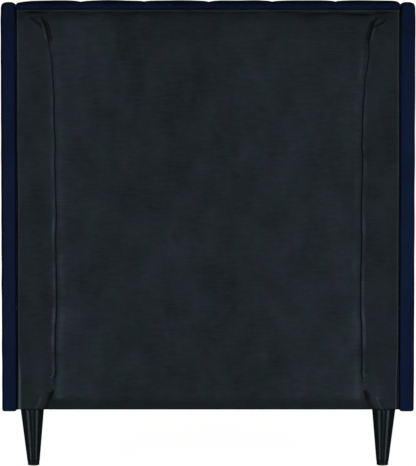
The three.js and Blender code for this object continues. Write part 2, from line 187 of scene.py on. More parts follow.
class Finish(Nodes):
    """A procedural material with one Principled shader. Patterns are laid in the row frame, in metres."""

    def __init__(self, name, **sockets):
        self.material = bpy.data.materials.new(name)
        self.material.use_nodes = True
        super().__init__(self.material.node_tree)
        self.shader = self.tree.nodes["Principled BSDF"]
        for socket, value in sockets.items():
            self.shader.inputs[socket.replace("_", " ")].default_value = value
        self.place = self.add("ShaderNodeTexCoord").outputs["Object"]

    def stretched(self, x, y, z):
        node = self.add("ShaderNodeVectorMath", operation="MULTIPLY")
        self.put(self.place, node.inputs[0])
        node.inputs[1].default_value = (x, y, z)
        return node.outputs[0]

    def noise(self, scale, detail=2.0, roughness=0.5, vector=None, distortion=0.0):
        node = self.add("ShaderNodeTexNoise")
        self.put(vector or self.place, node.inputs["Vector"])
        keys = ("Scale", "Detail", "Roughness", "Distortion")
        for key, value in zip(keys, (scale, detail, roughness, distortion)):
            node.inputs[key].default_value = value
        return node.outputs["Fac"]

    def wave(self, scale, direction, distortion=0.0, detail_scale=1.0, vector=None):
        node = self.add("ShaderNodeTexWave", bands_direction=direction)
        self.put(vector or self.place, node.inputs["Vector"])
        keys = ("Scale", "Distortion", "Detail", "Detail Scale")
        for key, value in zip(keys, (scale, distortion, 2.0, detail_scale)):
            node.inputs[key].default_value = value
        return node.outputs["Fac"]

    def attribute(self, name):
        return self.add("ShaderNodeAttribute", attribute_name=name).outputs["Fac"]

    def math(self, operation, a, b=0.0):
        node = self.add("ShaderNodeMath", operation=operation)
        self.put(a, node.inputs[0])
        self.put(b, node.inputs[1])
        return node.outputs[0]

    def around(self, noise, to_low, to_high):
        """A noise's middle stretch, where most of it lies, mapped to a new range."""
        return self.ranged(noise, 0.3, 0.7, to_low, to_high)

    def blend(self, factor, a, b, kind="MIX"):
        node = self.add("ShaderNodeMix", data_type="RGBA", blend_type=kind)
        self.put(factor, node.inputs["Factor"])
        self.put(a, node.inputs["A"])
        self.put(b, node.inputs["B"])
        return node.outputs["Result"]

    def scaled(self, color, factor):
        node = self.add("ShaderNodeVectorMath", operation="SCALE")
        self.put(color, node.inputs[0])
        self.put(factor, node.inputs["Scale"])
        return node.outputs[0]

    def bump(self, height, distance, strength=1.0, over=None):
        node = self.add("ShaderNodeBump")
        node.inputs["Distance"].default_value = distance
        node.inputs["Strength"].default_value = strength
        self.put(height, node.inputs["Height"])
        if over is not None:
            self.put(over, node.inputs["Normal"])
        return node.outputs["Normal"]

    def finish(self, color=None, roughness=None, normal=None):
        for value, socket in ((color, "Base Color"), (roughness, "Roughness"), (normal, "Normal")):
            if value is not None:
                self.put(value, self.shader.inputs[socket])
        return self.material


def velvet_material():
    """Navy velvet: a short pile, brushed lighter and darker in patches, with painted shade down in its seams,
    wherever each piece lays it, and on edges turned from view.
    """
    f = Finish("navy_velvet", Roughness=0.75, Sheen_Weight=0.1, Sheen_Roughness=0.4,
               Sheen_Tint=(0.10, 0.22, 0.75, 1), Specular_IOR_Level=0.1)
    nap_and_roll_shade = f.noise(5.0, 4.0, 0.6, f.stretched(1.6, 1.6, 0.8), 0.6)
    streak = f.noise(60.0, 3.0, 0.6, f.stretched(1.0, 1.0, 0.25))
    pile = f.noise(1500.0, 2.0, 0.7)
    shade = f.math("ADD", f.around(nap_and_roll_shade, -0.25, 0.25), f.around(streak, -0.12, 0.12))
    shade = f.math("ADD", shade, f.ranged(pile, 0.25, 0.75, 0.75, 1.25))
    # painted shade laid on each piece's mesh
    shade = f.math("MULTIPLY", shade, f.ranged(f.attribute("painted_shade"), 0.0, 1.0, 1.0, 0.12))
    # painted shade on edges turned away from view
    facing = f.add("ShaderNodeLayerWeight").outputs["Facing"]
    shade = f.math("MULTIPLY", shade, f.ranged(facing, 0.12, 0.85, 1.0, 0.3))
    color = f.scaled((0.0063, 0.0168, 0.0592), shade)
    rough = f.around(nap_and_roll_shade, 0.68, 0.85)
    normal = f.bump(pile, 0.00025, 0.5, f.bump(streak, 0.0012, 0.35))
    return f.finish(color, rough, normal)


def back_cloth_material():
    """Black woven lining: thin threads both ways, a slight gloss, and a faint unevenness, with painted shade
    and painted highlights laid on its mesh.
    """
    f = Finish("back_cloth", Roughness=0.5, Specular_IOR_Level=0.14)
    warp = f.wave(520.0, "X", 1.2, 6.0)
    weft = f.wave(520.0, "Z", 1.2, 6.0)
    threads = f.math("MAXIMUM", warp, weft)
    mottle = f.noise(11.0, 4.0, 0.65, f.stretched(1.3, 1.0, 0.8))
    cloud = f.noise(2.6, 2.0, 0.5)
    slub = f.noise(120.0, 3.0, 0.6, f.stretched(0.25, 1.0, 1.6))
    shade = f.math("ADD", f.ranged(threads, 0.0, 1.0, 0.85, 1.06), f.around(mottle, -0.26, 0.26))
    shade = f.math("ADD", shade, f.around(slub, -0.16, 0.16))
    shade = f.math("ADD", shade, f.around(cloud, -0.10, 0.10))
    # the mesh's painted shade and painted highlights, and its darker bands, scale the colour
    shade = f.math("MULTIPLY", shade, f.attribute("tone_and_painted_light"))
    patch = f.ranged(f.noise(16.0, 3.0, 0.6), 0.38, 0.62, 0.0, 1.0)
    tint = f.blend(patch, (0.0248, 0.0318, 0.0430, 1), (0.0198, 0.0348, 0.0395, 1))
    color = f.scaled(tint, shade)
    gloss_and_highlight = f.attribute("gloss_and_highlight")
    rough = f.math("SUBTRACT", f.around(mottle, 0.46, 0.56), f.math("MULTIPLY", gloss_and_highlight, 0.2))
    normal = f.bump(threads, 0.0001, 0.35, f.bump(slub, 0.0005, 0.3))
    return f.finish(color, rough, normal)


def lacquer_material():
    """Gloss black lacquer over turned wood, with a trace of the grain and of orange peel."""
    f = Finish("gloss_black_lacquer", Specular_IOR_Level=0.33, Specular_Tint=(0.70, 0.90, 1.0, 1),
               Coat_Weight=0.2, Coat_Roughness=0.12, Coat_Tint=(0.80, 0.94, 1.0, 1))
    grain = f.noise(160.0, 4.0, 0.6, f.stretched(1.0, 1.0, 0.06))
    peel = f.noise(900.0, 1.0, 0.5)
    streaks = f.ranged(grain, 0.4, 0.7, 0.0, 1.0)
    color = f.blend(streaks, (0.0075, 0.0105, 0.0120, 1), (0.0110, 0.0140, 0.0155, 1))
    rough = f.ranged(grain, 0.35, 0.7, 0.24, 0.32)
    return f.finish(color, rough, f.bump(peel, 0.00006, 0.25, f.bump(grain, 0.0002, 0.2)))


def wood_material(name, along):
    """Sawn softwood with its grain along one axis, faint rings and a few knots."""
    f = Finish(name, Specular_IOR_Level=0.35)
    stretch = {"X": (0.05, 1, 1), "Y": (1, 0.05, 1), "Z": (1, 1, 0.05)}[along]
    across = f.stretched(*stretch)
    band = f.wave(38.0, "DIAGONAL", 7.0, 1.6, across)
    fibre = f.noise(520.0, 3.0, 0.7, across)
    patch = f.noise(7.0, 2.0, 0.5)
    knots = f.add("ShaderNodeTexVoronoi")
    f.put(f.stretched(*[4.2 if s < 1 else 11.0 for s in stretch]), knots.inputs["Vector"])
    knots.inputs["Scale"].default_value = 1.0
    knot = f.ranged(knots.outputs["Distance"], 0.03, 0.11, 1.0, 0.0)
    amount = f.math("ADD", f.ranged(band, 0.1, 1.0, 0.0, 0.55), f.around(fibre, 0.0, 0.3))
    amount = f.math("ADD", amount, f.around(patch, -0.12, 0.12))
    amount = f.math("ADD", amount, f.math("MULTIPLY", knot, 0.8))
    color = f.blend(amount, (0.62, 0.42, 0.21, 1), (0.36, 0.19, 0.075, 1))
    rough = f.around(fibre, 0.5, 0.68)
    return f.finish(color, rough, f.bump(fibre, 0.0004, 0.4, f.bump(band, 0.0006, 0.2)))


def plywood_material():
    """Plywood: long face grain, and thin plies that show on its edges."""
    f = Finish("plywood", Specular_IOR_Level=0.35)
    fibre = f.noise(300.0, 3.0, 0.7, f.stretched(1.0, 1.0, 0.05))
    plies = f.wave(105.0, "Y", 0.4, 2.0)
    amount = f.math("ADD", f.around(fibre, 0.0, 0.5), f.ranged(plies, 0.4, 0.6, 0.0, 0.35))
    color = f.blend(amount, (0.50, 0.33, 0.16, 1), (0.27, 0.15, 0.065, 1))
    return f.finish(color, f.around(fibre, 0.6, 0.78), f.bump(fibre, 0.0004, 0.4))


def fibreboard_material():
    """Medium-density fibreboard: flat brown with a fine speckle of fibres."""
    f = Finish("fibreboard", Specular_IOR_Level=0.3)
    speck = f.noise(900.0, 4.0, 0.8)
    patch = f.noise(14.0, 2.0, 0.5)
    amount = f.math("ADD", f.around(speck, 0.0, 0.8), f.around(patch, -0.1, 0.1))
    color = f.blend(amount, (0.36, 0.24, 0.13, 1), (0.22, 0.135, 0.07, 1))
    return f.finish(color, f.around(speck, 0.72, 0.85), f.bump(speck, 0.0002, 0.5))


def black_steel_material():
    """Powder-coated steel with a fine pebbled skin."""
    f = Finish("black_steel", Specular_IOR_Level=0.5)
    pebble = f.noise(1100.0, 2.0, 0.5)
    wear = f.noise(30.0, 3.0, 0.6)
    color = f.blend(f.ranged(wear, 0.45, 0.75, 0.0, 1.0), (0.011, 0.011, 0.012, 1), (0.024, 0.024, 0.026, 1))
    return f.finish(color, f.around(wear, 0.42, 0.55), f.bump(pebble, 0.00025, 0.5))


def zinc_material():
    """Bright zinc plate, faintly brushed and yellowed in places."""
    f = Finish("zinc_steel", Metallic=1.0)
    brush = f.noise(800.0, 2.0, 0.6, f.stretched(1.0, 1.0, 0.1))
    cloud = f.noise(45.0, 3.0, 0.6)
    color = f.blend(f.ranged(cloud, 0.35, 0.7, 0.0, 1.0), (0.60, 0.61, 0.62, 1), (0.52, 0.50, 0.44, 1))
    return f.finish(color, f.around(brush, 0.26, 0.42), f.bump(brush, 0.00008, 0.4))


def nylon_material():
    """Black moulded nylon, scuffed where it meets the floor."""
    f = Finish("glide_nylon", Specular_IOR_Level=0.5)
    scuff = f.noise(420.0, 4.0, 0.7)
    color = f.blend(f.ranged(scuff, 0.5, 0.8, 0.0, 1.0), (0.008, 0.009, 0.010, 1), (0.025, 0.025, 0.026, 1))
    return f.finish(color, f.around(scuff, 0.4, 0.6), f.bump(scuff, 0.0001, 0.4))


def webbing_material():
    """Black woven webbing, with ribs across its width and a twill along it."""
    f = Finish("webbing", Specular_IOR_Level=0.35, Sheen_Weight=0.1)
    ribs = f.wave(180.0, "Y", 0.3, 4.0)
    twill = f.wave(260.0, "X", 0.3, 4.0)
    weave = f.math("MULTIPLY", ribs, f.ranged(twill, 0.0, 1.0, 0.6, 1.0))
    color = f.blend(weave, (0.007, 0.007, 0.008, 1), (0.026, 0.026, 0.028, 1))
    return f.finish(color, f.ranged(weave, 0.0, 1.0, 0.9, 0.7), f.bump(weave, 0.0006, 0.7))


# ---------------------------------------------------------------- shape helpers

def smooth(value, low, high):
    t = np.clip((np.asarray(value, float) - low) / (high - low), 0, 1)
    return t * t * (3 - 2 * t)


def bell(distance, width):
    return np.exp(-((distance / width) ** 2))


def through(points, at):
    """A smooth curve through a few (place, value) points, read at many places."""
    places, values = np.array(points, float).T
    step = np.interp(at, places, np.arange(len(places)))
    k = np.clip(step.astype(int), 0, len(places) - 2)
    t = step - k
    before, after = values[np.maximum(k - 1, 0)], values[np.minimum(k + 2, len(places) - 1)]
    a, b = values[k], values[k + 1]
    return 0.5 * (2 * a + (b - before) * t + (2 * before - 5 * a + 4 * b - after) * t**2
                  + (3 * a - before - 3 * b + after) * t**3)


def ripple(seed, wavelength, *places):
    """A smooth seeded random pattern of about that wavelength, roughly from -1 to 1."""
    rng = np.random.default_rng(seed)
    total = 0.0
    count = 7
    for _ in range(count):
        direction = rng.normal(size=len(places))
        direction /= np.linalg.norm(direction)
        pace = 2 * math.pi / (wavelength * rng.uniform(0.7, 1.6))
        phase = rng.uniform(0, 2 * math.pi)
        along = sum(d * np.asarray(p, float) for d, p in zip(direction, places))
        total = total + np.sin(pace * along + phase)
    return total / math.sqrt(count)


def refine(grid, times=2):
    """A finer grid of points through the given one, by Catmull-Rom curves both ways."""
    def finer(values):
        count = len(values)
        at = np.linspace(0, count - 1, (count - 1) * times + 1)
        k = np.clip(at.astype(int), 0, count - 2)
        t = (at - k).reshape(-1, *([1] * (values.ndim - 1)))
        p0, p1 = values[np.maximum(k - 1, 0)], values[k]
        p2, p3 = values[k + 1], values[np.minimum(k + 2, count - 1)]
        return 0.5 * (2 * p1 + (p2 - p0) * t + (2 * p0 - 5 * p1 + 4 * p2 - p3) * t**2
                      + (3 * p1 - p0 - 3 * p2 + p3) * t**3)
    half = finer(grid)
    return np.swapaxes(finer(np.swapaxes(half, 0, 1)), 0, 1)


def grid_faces(rows, cols, start=0, wrap=False):
    r, c = np.meshgrid(np.arange(rows - 1), np.arange(cols if wrap else cols - 1), indexing="ij")
    r, c = r.ravel(), c.ravel()
    nxt = (c + 1) % cols
    return np.stack([r * cols + c, r * cols + nxt, (r + 1) * cols + nxt, (r + 1) * cols + c], 1) + start


def tube_faces(rows, cols):
    """Faces of a grid closed round into a tube, with one face over each end."""
    ends = [list(range(cols))[::-1], [(rows - 1) * cols + i for i in range(cols)]]
    return grid_faces(rows, cols, wrap=True).tolist() + ends


def grid_normals(grid):
    along = np.gradient(grid, axis=0)
    across = np.gradient(grid, axis=1)
    normal = np.cross(across, along)
    return normal / np.maximum(np.linalg.norm(normal, axis=2, keepdims=True), 1e-12)


def corners(node):
    return [np.array(corner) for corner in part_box(node)]


def make_piece(name, points, faces, material, attributes=(), weld=0.0, flat=False):
    mesh = bpy.data.meshes.new(name)
    mesh.from_pydata(np.asarray(points, float).tolist(), [], [list(map(int, f)) for f in faces])
    for key, values in attributes:
        layer = mesh.attributes.new(key, "FLOAT", "POINT")
        layer.data.foreach_set("value", np.asarray(values, np.float32).ravel())
    if weld:
        bm = bmesh.new()
        bm.from_mesh(mesh)
        bmesh.ops.remove_doubles(bm, verts=bm.verts, dist=weld)
        bmesh.ops.dissolve_degenerate(bm, edges=bm.edges, dist=1e-7)
        bmesh.ops.recalc_face_normals(bm, faces=bm.faces)
        bm.to_mesh(mesh)
        bm.free()
    mesh.polygons.foreach_set("use_smooth", [not flat] * len(mesh.polygons))
    mesh.materials.append(material)
    mesh.update()
    piece = bpy.data.objects.new(name, mesh)
    bpy.context.scene.collection.objects.link(piece)
    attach(piece, "root")
    return piece


def inflate(points, faces, held, pressure, cap, slack, frames=20):
    """Blows a skin up as cloth under pressure and returns its points, none moved farther than about cap.

    held is 1 where it is sewn down, and slack is the spare cloth, as a share of its size.
    """
    mesh = bpy.data.meshes.new("cloth")
    mesh.from_pydata(np.asarray(points, float).tolist(), [], [list(map(int, f)) for f in faces])
    skin = bpy.data.objects.new("cloth", mesh)
    scene = bpy.context.scene
    scene.collection.objects.link(skin)
    group = skin.vertex_groups.new(name="held")
    for i in np.nonzero(np.asarray(held) > 0)[0]:
        group.add([int(i)], float(held[i]), "REPLACE")
    cloth = skin.modifiers.new("cloth", "CLOTH")
    s = cloth.settings
    s.vertex_group_mass = "held"
    s.quality = 4
    s.mass = 0.3
    s.tension_stiffness = s.compression_stiffness = s.shear_stiffness = 12
    s.bending_stiffness = 0.6
    s.shrink_min = -slack
    s.use_pressure = True
    s.uniform_pressure_force = pressure
    s.effector_weights.gravity = 0
    cloth.collision_settings.use_collision = False
    cloth.point_cache.frame_start, cloth.point_cache.frame_end = 1, frames
    scene.frame_start, scene.frame_end = 1, frames
    for f in range(1, frames + 1):
        scene.frame_set(f)
    done = skin.evaluated_get(bpy.context.evaluated_depsgraph_get())
    flat = np.zeros(len(points) * 3)
    done.data.vertices.foreach_get("co", flat)
    bpy.data.objects.remove(skin)
    bpy.data.meshes.remove(mesh)
    scene.frame_set(1)
    move = flat.reshape(-1, 3) - points
    length = np.linalg.norm(move, axis=1, keepdims=True)
    soft = cap * np.tanh(length / cap)
    return points + move * soft / np.maximum(length, 1e-12)


def filleted(corners, step):
    """Points along a polyline whose corners are rounded. Each corner is (a, b, radius)."""
    path = [np.array(corners[0][:2], float)]
    for before, here, after in zip(corners, corners[1:], corners[2:]):
        p, a, b = (np.array(q[:2], float) for q in (here, before, after))
        to_a, to_b = (a - p) / np.linalg.norm(a - p), (b - p) / np.linalg.norm(b - p)
        half = math.acos(np.clip(to_a @ to_b, -1, 1)) / 2
        reach = here[2] / math.tan(half)
        centre = p + (to_a + to_b) / np.linalg.norm(to_a + to_b) * here[2] / math.sin(half)
        start, end = p + to_a * reach - centre, p + to_b * reach - centre
        turn = math.atan2(start[0] * end[1] - start[1] * end[0], start @ end)
        for share in np.linspace(0, 1, 7):
            c, s = math.cos(turn * share), math.sin(turn * share)
            path.append(centre + np.array([start[0] * c - start[1] * s, start[0] * s + start[1] * c]))
    path.append(np.array(corners[-1][:2], float))
    out = [path[0]]
    for a, b in zip(path, path[1:]):
        if np.linalg.norm(b - a) < 1e-5:
            continue
        count = max(1, round(np.linalg.norm(b - a) / step))
        out += [a + (b - a) * (i + 1) / count for i in range(count)]
    return np.array(out)


# ---------------------------------------------------------------- headboard channels

# Rounding of a channel's section at its foot, over the front, over the back and where it tucks under.
FOOT_ROUND, FRONT_ROUND, BACK_ROUND, TUCK_ROUND = 0.016, 0.036, 0.0225, 0.004
TUCK = 0.006
CROWN_RISE = 0.0013
CHANNEL_STEP = 0.008
CHANNEL_COLUMNS = 25
CHANNEL_CLEARANCE = 0.000005
# How far the sewn edges lie below the crown on the front, and how much less on the back.
FRONT_SINK, BACK_EASE = 0.0205, 0.0165
SWELL_ROOM = 0.0022
PUCKER_REACH, PUCKER_WAVE, PUCKER_HEIGHT = 0.012, 0.016, 0.0009


def add_channels(velvet):
    """Six upright pads, each crowned between its sewn edges and rolled over the top of the frame."""
    board_low, board_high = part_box("headboard_front_board")
    board_y, roll_z = board_low.y, board_high.z + 0.0003
    pads = [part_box(node) for node in CHANNEL_PADS]
    # neighbours are sewn together, so each pad reaches the middle of the gap between them
    edges = [pads[0][0].x, *((a[1].x + b[0].x) / 2 for a, b in zip(pads, pads[1:])), pads[-1][1].x]
    for index, (low, high) in enumerate(pads, 1):
        top = high.z + CROWN_RISE
        outer_end = {1: -1, 6: 1}.get(index, 0)
        path = filleted([
            (board_y - 0.002, low.z, 0), (low.y, low.z, FOOT_ROUND), (low.y, top, FRONT_ROUND),
            (high.y, top, BACK_ROUND), (high.y, roll_z, TUCK_ROUND), (high.y - TUCK, roll_z, 0),
        ], CHANNEL_STEP)
        rows = len(path)
        tangent = np.gradient(path, axis=0)
        tangent /= np.linalg.norm(tangent, axis=1, keepdims=True)
        outward = np.stack([-tangent[:, 1], tangent[:, 0]], 1)
        # columns across the pad, from -1 to 1, closest together at its edges
        u = np.linspace(-1, 1, CHANNEL_COLUMNS)
        u = np.sign(u) * (1 - (1 - np.abs(u)) ** 1.45)
        half = (edges[index] - edges[index - 1]) / 2 - CHANNEL_CLEARANCE
        middle = (edges[index] + edges[index - 1]) / 2
        # the sewn edges lie deep below the crown on the front and a few millimetres below it on the back
        y = path[:, 0]
        travel = np.cumsum(np.r_[0, np.linalg.norm(np.diff(path, axis=0), axis=1)])
        depth = FRONT_SINK - BACK_EASE * smooth(y, low.y + 0.03, high.y - 0.012)
        depth *= smooth(travel, 0.0, 0.03) * 0.8 + 0.2
        fall = 0.5 * u**2 + 0.5 * np.abs(u) ** 9
        sink = depth[:, None] * fall[None, :]
        grid = np.zeros((rows, len(u), 3))
        grid[:, :, 0] = middle + half * u
        # the pad starts slimmer where the simulation will swell it
        room = SWELL_ROOM * (1 - 0.8 * smooth(y, low.y + 0.02, high.y - 0.035))
        inward = (sink + room[:, None] * (1 - u[None, :] ** 2))[:, :, None]
        grid[:, :, 1:] = path[:, None, :] - outward[:, None, :] * inward
        held = np.zeros((rows, len(u)))
        held[:, [0, -1]] = 1
        held[:2] = held[-2:] = 1
        swelled = inflate(grid.reshape(-1, 3), grid_faces(rows, len(u)), held.ravel(),
                          pressure=4.0, cap=0.0045, slack=0.015)
        grid = swelled.reshape(grid.shape)
        grid = refine(grid)
        uu = refine(np.repeat(u[None, :, None], rows, 0))[:, :, 0]
        along = refine(np.repeat(travel[:, None, None], len(u), 1))[:, :, 0]
        normal = grid_normals(grid)
        if (normal[rows // 2, len(u), 1]) > 0:
            normal = -normal
        # the stitches gather the velvet into short puckers beside each seam
        from_seam = (1 - np.abs(uu)) * half
        pucker = np.zeros_like(uu)
        for side in (-1, 1):
            near = np.exp(-from_seam / PUCKER_REACH) * (np.sign(uu) == side)
            pucker += near * ripple(31 * index + side, PUCKER_WAVE, along) * PUCKER_HEIGHT
        pucker += 0.0006 * ripple(100 + index, 0.12, uu * half, along) * (1 - uu**2)
        # the end pads round off towards the wings
        if outer_end:
            beyond = np.clip(uu * outer_end, -1, 1)
            over = smooth(grid[:, :, 2], roll_z, high.z - 0.012)
            fall_off = 0.0016 * smooth(beyond, -0.3, 0.8) + 0.0022 * smooth(beyond, 0.5, 1.0)
            if outer_end < 0:
                fall_off = 0.0018 * smooth(beyond, 0.86, 1.0)
            grid[:, :, 2] -= (fall_off + 0.0022 * smooth(beyond, 0.93, 1.0)) * over
        grid = grid + normal * pucker[:, :, None] * smooth(from_seam, 0.0, 0.002)[:, :, None]
        grid[:, :, 1] = np.minimum(grid[:, :, 1], high.y + 0.0012)
        # painted shade darkens the velvet along each seam, less on the back
        behind = smooth(grid[:, :, 1], high.y - 0.012, high.y - 0.002)
        painted_shade = 0.9 * np.exp(-from_seam / 0.0022) * (1 - 0.7 * behind)
        # on the back, painted shade darkens the roll most along its top
        down = np.clip(top - grid[:, :, 2], 0, 1)
        crown = 0.8 * (1 - smooth(down, 0.0, 0.003))
        nap_and_roll_shade = np.maximum(0.35 + 0.55 * (1 - smooth(down, 0.004, 0.019)), crown)
        painted_shade = np.maximum(painted_shade, nap_and_roll_shade * smooth(grid[:, :, 1], high.y - 0.024, high.y - 0.012))
        add_closed_pad(f"channel_{index}", grid, board_y, roll_z, velvet, painted_shade, CHANNEL_PADS[index - 1])


def add_closed_pad(name, grid, board_y, roll_z, velvet, painted_shade, node):
    """Closes a channel's skin with flat sides and a back that lies on the board and over the frame."""
    rows, cols = grid.shape[:2]
    backing = grid[:, [0, -1]].copy()
    over = backing[:, :, 2] > roll_z - 0.001
    backing[:, :, 1] = np.where(over, np.maximum(backing[:, :, 1], board_y), board_y - 0.0004)
    backing[:, :, 2] = np.minimum(backing[:, :, 2], roll_z + 0.0003)
    loop = np.concatenate([grid, backing[:, 1:2], backing[:, 0:1]], 1)
    # painted shade blackens the flat sides and the back
    looks = [("painted_shade", np.concatenate([painted_shade, np.ones((rows, 2))], 1))]
    faces = tube_faces(rows, cols + 2)
    piece = make_piece(name, loop.reshape(-1, 3), faces, velvet, looks, weld=1e-6)
    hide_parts(node)


# ---------------------------------------------------------------- padded boxes: wings, rails and foot panel

def axis_lines(low, high, edge, step):
    """Grid lines from low to high: close together within edge of each end, about a step apart between."""
    near = edge * np.array([0, 0.12, 0.3, 0.5, 0.75, 1.0])
    count = max(2, round((high - low - 2 * edge) / step))
    middle = np.linspace(low + edge, high - edge, count + 1)
    return np.r_[low + near[:-1], middle, (high - near[:-1])[::-1]]


def box_skin(low, high, edges, step):
    """Points and faces of a box's closed surface, gridded, with shared points along its edges."""
    lines = [axis_lines(low[k], high[k], edges[k], step) for k in range(3)]
    points, faces, start = [], [], 0
    for axis in range(3):
        first, second = [k for k in range(3) if k != axis]
        a, b = np.meshgrid(lines[first], lines[second], indexing="ij")
        for value in (low[axis], high[axis]):
            sheet = np.zeros((*a.shape, 3))
            sheet[:, :, axis], sheet[:, :, first], sheet[:, :, second] = value, a, b
            points.append(sheet.reshape(-1, 3))
            made = grid_faces(*a.shape, start=start)
            forward = (axis != 1) == (value == high[axis])
            faces.append(made if forward else made[:, ::-1])
            start += a.size
    points, faces = np.concatenate(points), np.concatenate(faces)
    key = np.round(points / 1e-6).astype(np.int64)
    _, first_seen, same = np.unique(key, axis=0, return_index=True, return_inverse=True)
    return points[first_seen], same.ravel()[faces]


def rounded(points, low, high, radius):
    """Rounds a box's edges. radius is a number or one for each point."""
    radius = np.broadcast_to(np.asarray(radius, float), (len(points),))[:, None]
    core = np.clip(points, np.array(low) + radius, np.array(high) - radius)
    away = points - core
    length = np.linalg.norm(away, axis=1, keepdims=True)
    reach = np.abs(away).max(axis=1, keepdims=True)
    return np.where(length > 1e-9, core + away * reach / np.maximum(length, 1e-9), points)


def finish_pad(name, points, faces, velvet, node, painted_shade):
    """A padded piece with its painted shade, one step finer, in place of its CAD node."""
    piece = make_piece(name, points, faces, velvet, [("painted_shade", painted_shade)])
    finer = piece.modifiers.new("finer", "SUBSURF")
    finer.levels = finer.render_levels = 1
    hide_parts(node)


def vertex_normals(points, faces):
    a, b = points[faces[:, 2]] - points[faces[:, 0]], points[faces[:, 3]] - points[faces[:, 1]]
    face = np.cross(a, b)
    total = np.zeros_like(points)
    for k in range(4):
        np.add.at(total, faces[:, k], face)
    return total / np.maximum(np.linalg.norm(total, axis=1, keepdims=True), 1e-12)


def from_outline(points, low, high, *axes):
    """How far each point is in from the nearest side of a box, along the given axes."""
    return np.minimum.reduce([gap for k in axes for gap in (points[:, k] - low[k], high[k] - points[:, k])])


def rounded_wing(points, low, high, radius, corner):
    """Rounds a wing's edges, by a radius for each point, and its front top corner to an arc."""
    middle, half = (low[0] + high[0]) / 2, (high[0] - low[0]) / 2
    out = rounded(points, low, high, radius)
    core = np.array([low[1] + corner, high[2] - corner])
    away = points[:, 1:] - core
    inside = (away[:, 0] < 0) & (away[:, 1] > 0)
    reach, length = np.abs(away).max(axis=1), np.linalg.norm(away, axis=1)
    aside = points[:, 0] - middle
    past = np.stack([np.abs(aside) - half + radius, reach - corner + radius], 1).clip(0, None)
    size = np.linalg.norm(past, axis=1)
    eased = past * (past.max(axis=1) / np.maximum(size, 1e-9))[:, None]
    radial = np.where(past[:, 1] > 0, corner - radius + eased[:, 1], reach)
    aside = np.where(past[:, 0] > 0, np.sign(aside) * (half - radius + eased[:, 0]), aside)
    bent = np.column_stack([middle + aside, core + away * (radial / np.maximum(length, 1e-9))[:, None]])
    return np.where(inside[:, None], bent, out)


WING_GRID_EDGES, WING_GRID_STEP = [0.0165, 0.014, 0.017], 0.0095
WING_ROUND, WING_CORNER = 0.008, 0.060
# How much painted shade darkens a wing, by height.
WING_HEIGHT_SHADE = [(0.15, 0.22), (0.18, 0.19), (0.24, 0.13), (0.32, 0.02), (0.78, 0.0), (1.03, 0.11), (1.17, 0.22),
             (1.25, 0.33), (1.33, 0.42)]


def add_wings(velvet):
    """Each wing is a padded panel with a rounded front corner, its faces sewn to a strip round the edge."""
    for name, side in SIDES:
        low, high = corners(f"wing_cover_{name}")
        points, faces = box_skin(low, high, WING_GRID_EDGES, WING_GRID_STEP)
        middle, half = (low[0] + high[0]) / 2, (high[0] - low[0]) / 2
        on_face = np.abs(points[:, 0] - middle) > half - 1e-6
        outline = from_outline(points, low, high, 1, 2)
        from_edge = np.where(on_face, outline, half - np.abs(points[:, 0] - middle))
        outer = np.sign(points[:, 0] - middle) == side
        near_top = smooth(points[:, 2], high[2] - 0.05, high[2] - 0.018)
        radius = WING_ROUND + np.where(outer, 0.0085, 0.005) * near_top
        skin = rounded_wing(points, low, high, radius, WING_CORNER)
        skin[:, 0] -= np.sign(points[:, 0] - middle) * 0.0015 * smooth(outline, 0.01, 0.05) * on_face
        held = np.where(on_face & (outline > 0.016), 0.0, 1.0)
        skin = inflate(skin, faces, held, pressure=3.0, cap=0.0035, slack=0.008)
        normal = vertex_normals(skin, faces)
        # the velvet dips into the seam and puckers a little beside it; painted shade darkens it along the
        # seam
        painted_shade = 0.9 * bell(from_edge, 0.0026) * np.where(outer, 1, 0.55)
        across, down = half - np.abs(points[:, 0] - middle), high[2] - points[:, 2]
        behind = points[:, 1] > high[1] - 0.0085
        # painted shade darkens its back edges, and darkens it towards the top and the foot
        rim = 1 - smooth(across, 0.0034 + 0.0009 * side, 0.0052 + 0.0012 * side)
        rim = np.where(side > 0, 1.0, 0.7) * outer * behind * rim
        rim = np.maximum(rim, 0.95 * behind * (1 - smooth(down, 0.002, 0.0055)))
        height_shade = through(WING_HEIGHT_SHADE, skin[:, 2])
        painted_shade = np.maximum(np.maximum(painted_shade, rim), height_shade)
        pull = 0.0003 * ripple(5 + side, 0.11, points[:, 1], points[:, 2]) * np.exp(-outline / 0.03) * on_face
        skin = skin + normal * (pull - 0.0005 * bell(from_edge, 0.003))[:, None]
        finish_pad(f"wing_{name}", skin, faces, velvet, f"wing_cover_{name}", painted_shade)


def add_rails(velvet):
    for name, side in SIDES:
        add_sleeve(f"side_rail_pad_{name}", f"side_rail_cover_{name}", velvet, 1, 40 + side)
    add_sleeve("foot_panel_pad", "foot_panel_cover", velvet, 0, 50)


SLEEVE_ROUND, SLEEVE_ROUND_BELOW = 0.0118, 0.004
TOPSTITCH_DROP, TOPSTITCH_WIDTH, TOPSTITCH_DEPTH = 0.013, 0.0018, 0.0008


